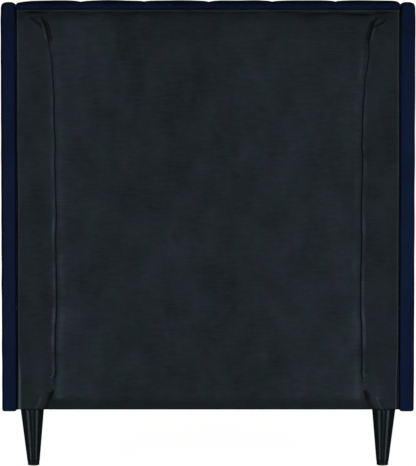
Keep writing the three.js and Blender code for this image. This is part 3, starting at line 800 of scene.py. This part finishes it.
def add_sleeve(name, node, velvet, along, seed):
    """A padded cover over a board: full rounded top, and pulled tight to its staples underneath."""
    low, high = corners(node)
    across = 1 - along
    points, faces = box_skin(low, high, [0.012, 0.012, 0.012], 0.0105)
    base = points.copy()
    radius = np.where(points[:, 2] > (low[2] + high[2]) / 2, SLEEVE_ROUND, SLEEVE_ROUND_BELOW)
    points = rounded(points, low, high, radius)
    middle = (low + high) / 2
    on_face = np.abs(base[:, across] - middle[across]) > (high - low)[across] / 2 - 1e-6
    on_top = base[:, 2] > high[2] - 1e-6
    from_bottom, from_top = base[:, 2] - low[2], high[2] - base[:, 2]
    from_end = np.minimum(base[:, along] - low[along], high[along] - base[:, along])
    held = np.where((on_face & (from_bottom > 0.02)) | on_top, 0.0, 1.0)
    held[from_end < 0.012] = 1.0
    points = inflate(points, faces, held, pressure=3.0, cap=0.003, slack=0.006)
    normal = vertex_normals(points, faces)
    # a topstitched seam runs along the upper edge, and the cloth pulls towards its staples underneath;
    # painted shade darkens the topstitch line
    stitch = bell(from_top - TOPSTITCH_DROP, TOPSTITCH_WIDTH) * on_face
    tug = ripple(seed, 0.07, base[:, along]) * np.exp(-from_bottom / 0.045) * on_face * 0.0011
    tug += ripple(seed + 7, 0.22, base[:, along], base[:, 2]) * 0.0006 * on_face
    points = points + normal * (tug - TOPSTITCH_DEPTH * stitch)[:, None]
    points = np.clip(points, low - 0.0012, high + 0.0012)
    points[:, 2] = np.maximum(points[:, 2], low[2])
    finish_pad(name, points, faces, velvet, node, 0.5 * stitch)


def add_lower_pad(velvet):
    """The flat velvet panel under the channels."""
    low, high = corners("headboard_lower_pad")
    points, faces = box_skin(low, high, [0.006, 0.004, 0.006], 0.012)
    base = points.copy()
    points = rounded(points, low, high, 0.0035)
    front = base[:, 1] < low[1] + 1e-6
    from_edge = from_outline(base, low, high, 0, 2)
    dip = 0.0016 * (1 - smooth(from_edge, 0.0, 0.04))
    dip = dip + 0.0005 * (1 + ripple(77, 0.14, base[:, 0], base[:, 2]))
    points[:, 1] += np.where(front, dip, 0)
    no_seam = np.zeros(len(points))
    finish_pad("lower_pad", points, faces, velvet, "headboard_lower_pad", no_seam)


# ---------------------------------------------------------------- back dust cover

# More than half of the crease's points are a scratch script's measurements of the photograph, rounded.
# Its other points and this section's other lists were set from readings of the photograph's pixels.

# The crease down each side, as (height in metres, millimetres outward from the post's inner edge).
CREASE = {
    1: [(0.15, -1), (0.222, -0.5), (0.246, -1), (0.255, -3), (0.265, -5.5), (0.276, -6.6), (0.31, -5.4),
        (0.37, -5.2), (0.394, -6), (0.428, -8.3), (0.48, -9.9), (0.55, -8.6), (0.598, -7.8), (0.65, -6.7),
        (0.683, -8), (0.717, -9.2), (0.768, -7.8), (0.819, -6.6), (0.869, -5.6), (0.905, -7.2),
        (0.937, -6.4), (0.971, -4.5), (1.005, -3.6), (1.039, -4.6), (1.073, -2.6), (1.107, -0.8),
        (1.141, 1.3), (1.157, 3), (1.174, 6), (1.19, 9.2), (1.207, 11.2), (1.216, 11.9), (1.222, 14.2),
        (1.233, 16.5), (1.244, 18.7), (1.25, 21.3), (1.255, 24.2), (1.261, 26.6), (1.267, 29.4),
        (1.272, 34), (1.29, 48)],
    -1: [(0.15, 0), (0.222, 0.5), (0.24, -0.8), (0.259, -1.5), (0.276, -2.3), (0.31, -2.2), (0.377, -2.6),
         (0.411, -3.8), (0.43, -5.5), (0.48, -6.2), (0.55, -5.8), (0.6, -4.4), (0.65, -3.7), (0.7, -5.1),
         (0.735, -5.2), (0.785, -4), (0.836, -2), (0.886, -1.9), (0.905, -4.1), (0.937, -3.1),
         (0.971, -2.5), (1.005, -1.6), (1.022, -0.9), (1.039, 1), (1.056, 2.5), (1.073, 2), (1.09, 3),
         (1.107, 5.6), (1.124, 9.3), (1.141, 11.6), (1.157, 14), (1.174, 15.4), (1.192, 13.7),
         (1.205, 15.1), (1.213, 17.5), (1.227, 19.3), (1.233, 22), (1.244, 25.4), (1.25, 27), (1.255, 30),
         (1.261, 32.8), (1.267, 36.8), (1.272, 42), (1.29, 58)],
}
# How full the rolled edge outside the crease is, by height; this also scales the painted highlight on it.
ROLL = [(0.15, 0), (0.233, 0.1), (0.25, 0.45), (0.262, 0.85), (0.275, 0.5), (0.29, 0.4), (0.315, 0.25),
        (0.338, 0.6), (0.352, 1), (0.37, 0.9), (0.39, 0.6), (0.405, 0.8), (0.42, 1.15), (0.436, 1),
        (0.452, 0.55), (0.48, 0.35), (0.5, 0.55), (0.52, 0.8), (0.54, 0.5), (0.563, 0.65), (0.58, 0.25),
        (0.592, 0), (0.61, 0.35), (0.65, 0.55), (0.675, 0.85), (0.7, 0.65), (0.72, 0.3), (0.75, 0.35),
        (0.8, 0.15), (0.83, 0.4), (0.855, 0.6), (0.88, 0.3), (0.9, 0.4), (0.93, 0.15), (0.96, 0.25),
        (0.985, 0.5), (1.01, 0.2), (1.035, 0.4), (1.06, 0.15), (1.1, 0.2), (1.16, 0.1), (1.3, 0)]
# How much a painted highlight lightens the cloth just inside the crease, by height.
INSIDE_HIGHLIGHT = [(0.15, 0), (0.187, 0), (0.196, 0.75), (0.225, 0.85), (0.25, 0.7), (0.29, 0.6), (0.315, 0.3),
        (0.35, 0.6), (0.42, 0.65), (0.455, 0.45), (0.475, 0.2), (0.51, 0.5), (0.585, 0.6), (0.62, 0.2),
        (0.69, 0.25), (0.75, 0.35), (0.85, 0.25), (1, 0.2), (1.15, 0.25), (1.22, 0.1), (1.3, 0)]
# The fold at each bottom corner, and the roll outside it that a painted highlight lightens, as (distance from
# the middle, height).
FOLD = [(0.4395, 0.2135), (0.4425, 0.204), (0.4458, 0.195), (0.4485, 0.1865), (0.452, 0.178),
        (0.457, 0.1695), (0.463, 0.16)]
FOLD_ROLL = [(0.474, 0.195), (0.4757, 0.1865), (0.479, 0.178), (0.4838, 0.1695), (0.49, 0.16)]
# The last of the crease's roll above the fold, lightened by a painted highlight, and small nicks beside it,
# darkened by painted shade.
LAST_ROLL = [(0.4405, 0.243), (0.4385, 0.226), (0.4345, 0.206)]
NICKS = ([(0.4475, 0.2775), (0.4445, 0.274), (0.442, 0.267)], [(0.4262, 0.32), (0.4256, 0.317)],
         [(0.4345, 0.244), (0.4325, 0.2385)])
# Where the cloth's outer edge shows, in millimetres from the frame's side, by height.
EDGE = {
    1: [(0.15, 2.8), (0.21, 2.9), (0.27, 3.6), (0.44, 3.8), (0.6, 4.2), (0.78, 4.8), (0.86, 4.1),
        (0.95, 3.6), (1.05, 3.9), (1.32, 3.7)],
    -1: [(0.15, 5.9), (0.25, 5.5), (0.29, 4), (0.34, 2.8), (0.6, 3), (0.8, 2.8), (0.86, 2.4), (0.95, 2.9),
         (1.03, 3), (1.1, 3.6), (1.32, 3.6)],
}


def crease_at(side, z):
    inner = abs(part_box("headboard_post_right")[0].x)
    return inner + through(CREASE[side], z) / 1000


def cover_columns(side, z, edge):
    """Places across half the cover at each height, close together beside the crease and at the edge.

    Each stretch of columns starts so far before or after the crease, in metres.
    """
    crease = crease_at(side, z)[:, None]
    wide = (crease - 0.030) * np.linspace(0, 1, 24)[:-1][None, :]
    fine = crease - 0.030 + np.linspace(0, 0.016, 9)[:-1][None, :]
    finest = crease - 0.014 + np.linspace(0, 0.034, 49)[:-1][None, :]
    rim = edge - 0.007
    outer = crease + 0.020 + (rim - crease - 0.020) * np.linspace(0, 1, 33)[:-1][None, :]
    turn = rim + 0.007 * np.linspace(0, 1, 15)[None, :] + 0 * crease
    return np.concatenate([wide, fine, finest, outer, turn], 1)


def line_distance(x, z, points):
    """Distance from each place to a bent line, in metres."""
    nearest = np.full(np.shape(x), 1.0)
    for (ax, az), (bx, bz) in zip(points, points[1:]):
        dx, dz = bx - ax, bz - az
        share = np.clip(((x - ax) * dx + (z - az) * dz) / (dx * dx + dz * dz), 0, 1)
        nearest = np.minimum(nearest, np.hypot(x - ax - share * dx, z - az - share * dz))
    return nearest


def crease_relief(side, x, z):
    """The crease down one side, at |x| and z: height and distance from it in millimetres, painted light and
    shade, and where the cloth is glossier.
    """
    mm = (x - crease_at(side, z[:, 0])[:, None]) * 1000
    full = np.clip(through(ROLL, z), 0, 1.2)
    top = smooth(z, 1.16, 1.205)
    low = 1 - smooth(z, 0.215, 0.275)
    present = smooth(z, 0.238, 0.262) * (1 - smooth(z, 1.262, 1.278))
    # inside, the cloth falls into the recess between the posts, steeply low down and gently higher up
    opened = smooth(z, 0.186, 0.205 + 0.045 * smooth(-mm, 20, 60)) * (1 - smooth(z, 1.20, 1.27))
    run = 46 - 30 * (1 - smooth(z, 0.30, 0.80)) - 3 * low
    lip = 1.4 - 2.8 * low - 1.0 * top
    inside = -opened * (lip + (4.8 - lip) * (1 - np.exp(-np.clip(-mm - 3, 0, None) / run)))
    # outside, it climbs to a rolled edge and eases down on to the post
    crest = (0.5 + 2.4 * full) * smooth(z, 0.238, 0.262) * (1 - smooth(z, 1.215, 1.255))
    ease = np.clip((13.5 - mm) / 10.0, 0, 1)
    outside = crest * (0.5 * ease + 0.5 * ease * ease * (3 - 2 * ease))
    blend = smooth(mm, -2.4, 1.6)
    height = inside * (1 - blend) + outside * blend
    valley = np.where(mm < 0, bell(mm, 1.8 + 2.2 * top), bell(mm, 1.25))
    height = height * (1 - valley) + np.minimum(height, -3.4 * present) * valley
    # painted shade darkens the crease itself
    tone_and_painted_light = 1 - 0.62 * present * np.where(mm < 0, bell(mm, 1.7), bell(mm, 1.3))
    # near the top the fold lies over and shades a strip inside it
    shade = smooth(z, 1.190, 1.214) * (1 - smooth(z, 1.262, 1.270))
    narrow = smooth(z, 1.255, 1.265)
    strip = np.where(mm < 0, 1 - smooth(-mm, 8.5 - 5 * narrow, 14.5 - 8 * narrow), bell(mm, 1.6))
    tone_and_painted_light *= 1 - shade * strip * (0.68 + 0.16 * bell(z - 1.253, 0.009))
    tone_and_painted_light *= 1 - 0.6 * shade * bell(mm, 1.6)
    # a painted highlight lightens the rolled edge outside the crease, which is also glossier there
    gloss_and_highlight = full * present * bell(mm - 6.3, 4.2)
    tone_and_painted_light *= 1 + 1.45 * gloss_and_highlight
    # a painted highlight lightens the cloth just inside the crease
    farther = np.clip(-mm - 13, 0, None)
    lift = smooth(-mm, 2.5, 13) * (0.35 * np.exp(-farther / 60) + 0.65 * bell(farther, 14))
    tone_and_painted_light *= 1 + 1.15 * through(INSIDE_HIGHLIGHT, z) * lift * (1 if side > 0 else 0.65)
    return height, tone_and_painted_light, gloss_and_highlight, mm


# Short folds under the hem on each side, as (distance from the middle, height) in metres.
TOP_FOLDS = {
    1: {
        "branch": [(0.497, 1.269), (0.4946, 1.2667), (0.4881, 1.261), (0.4796, 1.2554), (0.472, 1.2495),
                   (0.469, 1.243)],
        "ridge": [(0.4645, 1.2441), (0.4619, 1.2384), (0.4598, 1.232), (0.459, 1.2215), (0.4563, 1.2105)],
        "spot": [(0.4765, 1.2685), (0.4745, 1.2655)],
        "nick": [(0.484, 1.2725), (0.4815, 1.2665)],
        "extra": [(0.45, 1.171), (0.448, 1.15)],
    },
    -1: {
        "branch": [(0.4985, 1.2625), (0.4966, 1.261), (0.4915, 1.2554), (0.481, 1.25), (0.47, 1.2441)],
        "ridge": [(0.468, 1.2385), (0.4652, 1.2328), (0.4626, 1.2271), (0.4624, 1.218), (0.46, 1.207)],
        "spot": [(0.48, 1.2625), (0.4785, 1.256)],
        "nick": [(0.4745, 1.241), (0.473, 1.234)],
        "extra": [(0.434, 1.176), (0.434, 1.15), (0.4305, 1.125), (0.4275, 1.1)],
    },
}


def top_folds(side, x, z):
    """Short folds where the crease runs out under the hem. Gives height in millimetres, with painted shade in
    the folds and nicks and painted highlights on the raised parts.
    """
    away = {name: line_distance(x, z, points) for name, points in TOP_FOLDS[side].items()}
    height = -1.3 * bell(away["branch"], 0.0024) - 0.6 * bell(away["nick"], 0.002)
    height += 1.3 * bell(away["ridge"], 0.0034) + 0.8 * bell(away["spot"], 0.0024)
    height += 1.0 * bell(away["extra"], 0.005)
    # painted shade darkens the folds and nicks; painted highlights lighten the ridge, the spot and the extra
    # fold
    tone_and_painted_light = (1 - 0.8 * bell(away["branch"], 0.0027)) * (1 - 0.4 * bell(away["nick"], 0.0022))
    tone_and_painted_light *= 1 + 0.55 * bell(away["ridge"], 0.0034)
    lighter = (0.25 if side > 0 else 0.4) * bell(away["extra"], 0.0042)
    tone_and_painted_light *= (1 + 0.5 * bell(away["spot"], 0.0024)) * (1 + lighter)
    return height, tone_and_painted_light


def corner_folds(side, x, z):
    """The cloth folded in at a bottom corner: a slanting fold darkened by painted shade, with a roll outside
    it lightened by a painted highlight.
    """
    # the right corner's fold lies 4 mm farther out
    x = x if side > 0 else x - 0.0040
    middle = through([(b, a) for a, b in reversed(FOLD)], z)
    upper = smooth(z, 0.186, 0.194)
    present = 1 - smooth(z, 0.2105, 0.2155)
    reach = 0.9 + 300 * np.clip(0.2119 - z, 0, 0.024)
    fold = line_distance(x, z, FOLD)
    outward = (x - middle) * 1000
    # painted shade darkens the fold and the cloth beside it
    core = bell(fold, 0.0040 + 0.0012 * bell(z - 0.192, 0.010))
    spread = 1 - smooth(outward, 3, 17) if side > 0 else 1 - smooth(outward, 7, 14)
    beside = upper * np.where(outward > 0, spread, 1 - smooth(-outward, reach - 0.8, reach + 1.2))
    beside += (1 - upper) * np.where(outward > 0, 1 - smooth(outward, 5, 13), np.exp(outward / 16))
    beside_dark = (0.74 * upper + 0.52 * (1 - upper)) * beside * present
    dark = np.maximum((0.70 + 0.25 * upper) * core, beside_dark)
    height = -2.3 * np.maximum(core, 0.5 * beside * present)
    # the last of the crease's roll, running down to the fold on its inner side, lightened by a painted
    # highlight
    last = bell(line_distance(x, z, LAST_ROLL), 0.0062)
    height += 0.7 * last * (1 - dark)
    tone_and_painted_light = (1 - dark) * (1 + (0.34 if side > 0 else 0.22) * last)
    # a painted highlight lightens the roll outside the fold
    roll = bell(line_distance(x, z, FOLD_ROLL), 0.0034)
    height += 2.2 * roll
    tone_and_painted_light *= 1 + 0.75 * roll
    # the roll outside the fold, lightened further by a painted highlight, and creases gathered above it, with
    # painted light and shade along them
    shoulder = bell(x - 0.474, 0.016) * smooth(z, 0.176, 0.20) * (1 - smooth(z, 0.215, 0.25))
    tone_and_painted_light *= 1 + 0.25 * shoulder * (1 - dark)
    gather = bell(z - 0.258, 0.024) * bell(x - 0.440, 0.014)
    crinkle = ripple(21 + side, 0.0085, x * 0.9, z)
    height += 1.1 * gather * crinkle
    tone_and_painted_light *= 1 + 0.42 * gather * crinkle
    # painted shade darkens the nicks
    for points in NICKS:
        line = bell(line_distance(x, z, points), 0.0019)
        height -= 0.9 * line
        tone_and_painted_light *= 1 - 0.5 * line
    return height, tone_and_painted_light, roll


def hem_relief(sx, down, high_x):
    """A turned edge along the top, uneven along its length. Gives height in millimetres, a painted shadow
    under the edge, a painted highlight on it and painted shade below it.
    """
    width = 0.0078 + 0.0010 * ripple(8, 0.35, sx) - 0.0012 * smooth(np.abs(sx), 0.46, high_x)
    broad = smooth(-sx, 0.22, 0.30) * (1 - smooth(-sx, 0.44, 0.49))
    width += 0.0034 * broad
    uneven = ripple(9, 0.09, sx)
    ends = 1 - smooth(np.abs(sx), 0.505, 0.53)
    turned_edge = bell(down - 0.45 * width, 0.0026)
    height = 1.0 * turned_edge - (1.5 + 0.4 * uneven) * bell(down - width, 0.0019) * ends
    # painted shadow under the turned edge
    shadow = bell(down - width - 0.0004, 0.0028 + 0.0020 * broad) * ends
    tone_and_painted_light = 1 - (0.40 + 0.16 * uneven + 0.08 * broad) * shadow
    # painted shade in a pinch near each end
    pinch = bell(np.abs(sx) - 0.487, 0.017) * bell(down - 0.0085, 0.0042)
    tone_and_painted_light *= 1 - 0.5 * pinch
    # painted highlight along the turned edge
    tone_and_painted_light *= 1 + (0.16 + 0.20 * ripple(10, 0.07, sx)) * turned_edge
    # painted shade on the cloth below the hem
    below = smooth(down, width, width + 0.002) * (1 - smooth(down, 0.016, 0.045))
    tone_and_painted_light *= 1 - (0.26 + 0.12 * ripple(12, 0.10, sx, down)) * below
    # slack drapes a little below the hem, with painted shade in the droop
    droop = bell(down - 0.016 - 0.004 * ripple(14, 0.11, sx), 0.0035) * ends
    droop *= smooth(ripple(15, 0.13, sx), 0.2, 0.9)
    height -= 0.8 * droop
    tone_and_painted_light *= 1 - 0.3 * droop
    return height, tone_and_painted_light


def add_dust_cover(material):
    """The lining stretched over the back, hemmed along its top and creased down each post's inner edge."""
    low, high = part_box("back_dust_cover")
    inner = abs(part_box("headboard_post_right")[0].x)
    z = np.unique(np.round(np.r_[np.arange(low.z + 0.0002, low.z + 0.115, 0.0017),
                                 np.arange(low.z + 0.115, high.z - 0.12, 0.0040),
                                 np.arange(high.z - 0.12, high.z - 0.016, 0.0020),
                                 np.linspace(high.z - 0.016, high.z - 0.0002, 15)], 6))
    halves = {}
    for side in (-1, 1):
        x = cover_columns(side, z, high.x)
        zz = np.repeat(z[:, None], x.shape[1], 1)
        sx = side * x
        height, tone_and_painted_light, gloss_and_highlight, mm = crease_relief(side, x, zz)
        *corner, roll = corner_folds(side, x, zz)
        for more, other in (top_folds(side, x, zz), corner, hem_relief(sx, high.z - zz, high.x)):
            height, tone_and_painted_light = height + more, tone_and_painted_light * other
        gloss_and_highlight = np.maximum(gloss_and_highlight, roll)
        # slow unevenness all over, less where the cloth lies on wood
        on_post = smooth(mm, -4, 2)
        slow = 1.0 * ripple(3, 0.22, sx, zz) + 0.4 * ripple(4, 0.07, sx, zz)
        slow = slow * (1 - 0.8 * on_post) * smooth(high.z - zz, 0.012, 0.08)
        height += slow * smooth(zz - low.z, 0.0, 0.05)
        # the cloth is darker over the bottom rail, on the posts and towards the top
        tone_and_painted_light *= 1 - 0.25 * (1 - smooth(zz, 0.180, 0.204)) * (1 - smooth(x, 0.42, 0.445))
        tone_and_painted_light *= (1 - 0.09 * on_post * (1.5 if side < 0 else 0.6)) * (1 - 0.12 * smooth(zz, 1.19, 1.25))
        # the lower edge turns in under the frame, darkened there by painted shade
        height -= 2.0 * (1 - smooth(zz - low.z, 0.0, 0.004))
        tone_and_painted_light *= 1 - 0.35 * (1 - smooth(zz - low.z, 0.0, 0.003))
        # down each side the cloth ends in a narrow turned edge, fullest low down, with a painted highlight
        # along it and glossier cloth
        from_edge = (high.x - x) * 1000 - through(EDGE[side], zz)
        lower = (1 - smooth(zz, 0.23, 0.33)) * (1 if side > 0 else 0.12)
        turned_edge = bell(from_edge - 1.9 - 2.3 * lower, 2.0 + 0.8 * lower)
        height += (0.7 + 0.3 * lower) * turned_edge
        tone_and_painted_light *= 1 + ((0.60 if side > 0 else 0.95) + 3.6 * lower) * turned_edge
        gloss_and_highlight = np.maximum(gloss_and_highlight, (0.3 + 0.7 * lower) * turned_edge)
        # past it, painted shade darkens the gap, and painted light makes it paler low down on one side
        gap = 1 - smooth(from_edge, -0.9, 0.3)
        pale = smooth(zz, 0.36, 0.26) * (1 if side < 0 else 0) * (1 - smooth(from_edge, -2.6, -1.8))
        tone_and_painted_light *= 1 - (0.96 - 0.60 * pale) * gap
        # nothing sinks into the posts, or between them into the cross rails, which lie farther in
        floor = -2.3 - 6.0 * smooth(inner - 0.0008 - x, 0.0, 0.0035)
        height = floor + 0.25 * np.logaddexp(0, (height - floor) / 0.25)
        height = height * (1 - gap) - 2.1 * gap
        height = np.maximum(height, floor - 0.25)
        looks = np.clip(tone_and_painted_light, 0.02, 4.0), np.clip(gloss_and_highlight, 0, 1)
        halves[side] = np.stack([sx, high.y + height / 1000, zz, *looks], 2)
    grid = np.concatenate([halves[-1][:, ::-1], halves[1][:, 1:]], 1)
    rows, cols = grid.shape[:2]
    # both side edges turn round the frame
    wrap = grid[:, [0, -1]].copy()
    wrap[:, :, 0] += np.array([0.0001, -0.0001])
    wrap[:, :, 1] -= 0.0100
    grid = np.concatenate([wrap[:, :1], grid, wrap[:, 1:]], 1)
    cols += 2
    faces = grid_faces(rows, cols)[:, ::-1]
    looks = [("tone_and_painted_light", grid[:, :, 3]), ("gloss_and_highlight", grid[:, :, 4])]
    piece = make_piece("dust_cover", grid[:, :, :3].reshape(-1, 3), faces, material, looks)
    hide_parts("back_dust_cover")


# ---------------------------------------------------------------- legs

def turned(name, profile, sides, material, node, lean=0.0, centre=(0, 0)):
    """A turned piece from (radius, height) points, sheared by lean per metre, in place of a CAD node."""
    profile = np.array(profile)
    angle = np.linspace(0, 2 * math.pi, sides, endpoint=False)
    x = centre[0] + profile[:, :1] * np.cos(angle) + lean * profile[:, 1:]
    y = centre[1] + profile[:, :1] * np.sin(angle)
    points = np.stack([x, y, np.repeat(profile[:, 1:], sides, 1)], 2).reshape(-1, 3)
    piece = make_piece(name, points, tube_faces(len(profile), sides), material)
    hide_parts(node)


# A leg's small turned foot: heights above its end, and how far each ring lies in from the taper.
FOOT_HEIGHTS = (0.0, 0.0006, 0.0016, 0.0026, 0.0032, 0.0040, 0.0052, 0.0066)
FOOT_INSETS = (0.0018, 0.0007, 0.0, 0.0, 0.0004, 0.0011, 0.0006, 0.0)
LEG_SIDES = 72


def add_legs(lacquer, nylon):
    """Four tapered legs that lean outwards, each on a nylon glide."""
    for end, _ in ENDS:
        for name, side in SIDES:
            low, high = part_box(f"leg_{end}_{name}")
            foot_low, foot_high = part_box(f"leg_glide_{end}_{name}")
            y = (low.y + high.y) / 2
            top_r = (high.y - low.y) / 2
            foot_x, foot_r = (foot_low.x + foot_high.x) / 2, (foot_high.y - foot_low.y) / 2
            top_x = high.x - top_r if side > 0 else low.x + top_r
            bottom, top = low.z, high.z
            lean = (top_x - foot_x) / (top - bottom)
            slope = (top_r - foot_r) / (top - bottom)
            profile = [(foot_r + slope * h - r, bottom + h) for h, r in zip(FOOT_HEIGHTS, FOOT_INSETS)]
            stem = np.linspace(0.012, top - bottom - 0.004, 14)
            profile += [(foot_r + slope * h, bottom + h) for h in stem]
            profile += [(top_r - 0.0003, top - 0.0022), (top_r - 0.0009, top - 0.0009), (top_r - 0.0022, top)]
            turned(f"tapered_leg_{end}_{name}", profile, LEG_SIDES, lacquer,
                   f"leg_{end}_{name}", lean, (foot_x - lean * bottom, y))
            floor_z, glide_top = foot_low.z, foot_high.z
            glide = [(foot_r - 0.004, floor_z), (foot_r - 0.0022, floor_z + 0.0003),
                     (foot_r - 0.0009, floor_z + 0.0012), (foot_r - 0.0004, floor_z + 0.0024),
                     (foot_r - 0.0004, glide_top - 0.0006), (foot_r - 0.0010, glide_top)]
            turned(f"glide_{end}_{name}", glide, LEG_SIDES, nylon,
                   f"leg_glide_{end}_{name}", 0.0, (foot_x, y))


# ---------------------------------------------------------------- deck, frame and metalwork

def soften(node, material, width):
    """Gives a CAD node its finish and eases its sharp edges with modifiers, its mesh untouched."""
    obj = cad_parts[node]
    obj.data.materials.clear()
    obj.data.materials.append(material)
    if width:
        weld = obj.modifiers.new("weld", "WELD")
        weld.merge_threshold = 1e-5
        bevel = obj.modifiers.new("eased_edges", "BEVEL")
        bevel.width = width
        bevel.segments = 2
        bevel.limit_method = "ANGLE"
        bevel.angle_limit = math.radians(40)


def dress_frame(woods, plywood, fibreboard, black_steel, zinc):
    """Gives every CAD node that stays in view its material and eased edges."""
    for name, _ in SIDES:
        soften(f"headboard_post_{name}", woods["Z"], 0.001)
        soften(f"side_rail_board_{name}", woods["Y"], 0.001)
        soften(f"slat_ledge_{name}", woods["Y"], 0.0015)
        soften(f"wing_board_{name}", fibreboard, 0.0)
        for i in (1, 2):
            soften(f"wing_bolt_{name}_{i}", zinc, 0.0)
        for end, _ in ENDS:
            soften(f"leg_stud_{end}_{name}", zinc, 0.0)
            soften(f"corner_bracket_{end}_{name}", black_steel, 0.0006)
    for part in ("bottom", "middle", "top"):
        soften(f"headboard_{part}_rail", woods["X"], 0.001)
    soften("foot_panel_board", woods["X"], 0.001)
    soften("headboard_front_board", plywood, 0.0)
    for slat in SLATS:
        soften(slat, woods["X"], 0.0025)


STRAP_STEP, STRAP_THICK, STRAP_SAG, STRAP_BEVEL = 0.0055, 0.0013, 0.0035, 0.0006


def add_straps(webbing):
    """Two bands of webbing stapled under the slats, sagging a little between them."""
    slats = [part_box(slat) for slat in SLATS]
    for name, _ in SIDES:
        low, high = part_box(f"slat_strap_{name}")
        y = np.arange(low.y, high.y + 0.0001, STRAP_STEP)
        y[-1] = high.y
        sag = np.zeros_like(y)
        for (_, a), (b, _) in zip(slats, slats[1:]):
            share = np.clip((y - a.y) / (b.y - a.y), 0, 1)
            sag += STRAP_SAG * np.sin(math.pi * share) ** 2
        half = (high.x - low.x) / 2
        inner = half - STRAP_BEVEL
        section = [(-half, 0.25), (-inner, 0), (inner, 0), (half, 0.25), (half, 0.75), (inner, 1), (0, 1.0),
                   (-inner, 1), (-half, 0.75)]
        middle = (low.x + high.x) / 2
        ring = np.array([[(middle + a, v, high.z - drop - STRAP_THICK * (1 - b)) for a, b in section]
                         for v, drop in zip(y, sag)])
        faces = tube_faces(*ring.shape[:2])
        piece = make_piece(f"strap_{name}", ring.reshape(-1, 3), faces, webbing)
        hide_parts(f"slat_strap_{name}")


def revolve(profile, centre, axis, sides=24):
    """Points and faces turned about an axis through centre, from (radius, distance along the axis) points."""
    axis = np.array(axis, float)
    first = np.cross(axis, [0, 0, 1] if abs(axis[2]) < 0.9 else [1, 0, 0])
    first /= np.linalg.norm(first)
    second = np.cross(axis, first)
    angle = np.linspace(0, 2 * math.pi, sides, endpoint=False)
    ring = np.cos(angle)[:, None] * first + np.sin(angle)[:, None] * second
    points = np.concatenate([np.array(centre) + r * ring + d * axis for r, d in profile])
    return points, tube_faces(len(profile), sides)


def gathered(name, parts, material, flat=True):
    """One piece from several (points, faces) shapes."""
    points, faces, start = [], [], 0
    for p, f in parts:
        points.append(p)
        faces += [[i + start for i in face] for face in f]
        start += len(p)
    return make_piece(name, np.concatenate(points), faces, material, weld=1e-7, flat=flat)


# Washer, hexagonal head and screw head, as (radius, distance out) in metres.
WASHER = [(0.0085, 0), (0.0088, 0.0003), (0.0088, 0.0012), (0.0085, 0.0015)]
BOLT_HEAD = [(0.0066, 0.0015), (0.0069, 0.0019), (0.0069, 0.0060), (0.0060, 0.0067), (0.0035, 0.0067),
             (0.0032, 0.0063)]
SCREW_HEAD = [(0.0044, 0), (0.0044, 0.0013), (0.0041, 0.0015), (0.0022, 0.0016), (0.0014, 0.0009)]
BRACKET_THICK = 0.003
BOLT_HEIGHTS = (0.022, 0.068)
BOLT_REACH = 0.037


def add_bolts(zinc):
    """Hex-headed bolts and washers through the corner brackets."""
    for end, toward in ENDS:
        for name, side in SIDES:
            low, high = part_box(f"corner_bracket_{end}_{name}")
            corner_x = high.x if side > 0 else low.x
            corner_y = high.y if toward > 0 else low.y
            parts = []
            for height in BOLT_HEIGHTS:
                z = low.z + height
                for out, up, axis in ((BOLT_REACH, BRACKET_THICK, (0, -toward, 0)),
                                      (BRACKET_THICK, BOLT_REACH, (-side, 0, 0))):
                    centre = (corner_x - side * out, corner_y - toward * up, z)
                    parts += [revolve(WASHER, centre, axis, 32), revolve(BOLT_HEAD, centre, axis, 6)]
            gathered(f"bracket_bolts_{end}_{name}", parts, zinc)


def add_slat_screws(zinc):
    """A countersunk screw, its head dished in the middle, near each end of every slat."""
    for name, side in SIDES:
        ledge_low, ledge_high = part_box(f"slat_ledge_{name}")
        parts = []
        for slat in SLATS:
            low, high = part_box(slat)
            centre = ((ledge_low.x + ledge_high.x) / 2 - side * 0.002, (low.y + high.y) / 2, high.z - 0.0012)
            parts.append(revolve(SCREW_HEAD, centre, (0, 0, 1), 20))
        gathered(f"slat_screws_{name}", parts, zinc, flat=False)


def staple(centre, along, out, width=0.010, wire=0.0011):
    """A staple's crown: a short flat wire bar lying on the surface."""
    centre, along, out = (np.array(v, float) for v in (centre, along, out))
    aside = np.cross(along, out)
    points = []
    for s in (-1, 1):
        for a, b in ((-1, 0), (-0.8, 0.7), (0.8, 0.7), (1, 0)):
            points.append(centre + along * s * width / 2 + aside * a * wire / 2 + out * b * wire)
    faces = [[0, 1, 5, 4], [1, 2, 6, 5], [2, 3, 7, 6], [3, 0, 4, 7], [3, 2, 1, 0], [4, 5, 6, 7]]
    return np.array(points), faces


def add_staples(zinc):
    """Staples that hold the straps to the undersides of the slats, two to each slat."""
    for name, _ in SIDES:
        strap_low, strap_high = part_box(f"slat_strap_{name}")
        strap_x = (strap_low.x + strap_high.x) / 2
        parts = []
        for slat in SLATS:
            low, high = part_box(slat)
            for share in (0.3, 0.7):
                centre = (strap_x, low.y + share * (high.y - low.y), strap_low.z + 0.0001)
                parts.append(staple(centre, (1, 0, 0), (0, 0, -1)))
        gathered(f"strap_staples_{name}", parts, zinc)


add_camera()
add_world()
add_floor()
add_lights()

VELVET = velvet_material()
ZINC = zinc_material()
WOODS = {axis: wood_material(f"pine_{axis.lower()}", axis) for axis in "XYZ"}

add_channels(VELVET)
add_wings(VELVET)
add_rails(VELVET)
add_lower_pad(VELVET)
add_dust_cover(back_cloth_material())
add_legs(lacquer_material(), nylon_material())
dress_frame(WOODS, plywood_material(), fibreboard_material(), black_steel_material(), ZINC)
add_straps(webbing_material())
add_bolts(ZINC)
add_slat_screws(ZINC)
add_staples(ZINC)
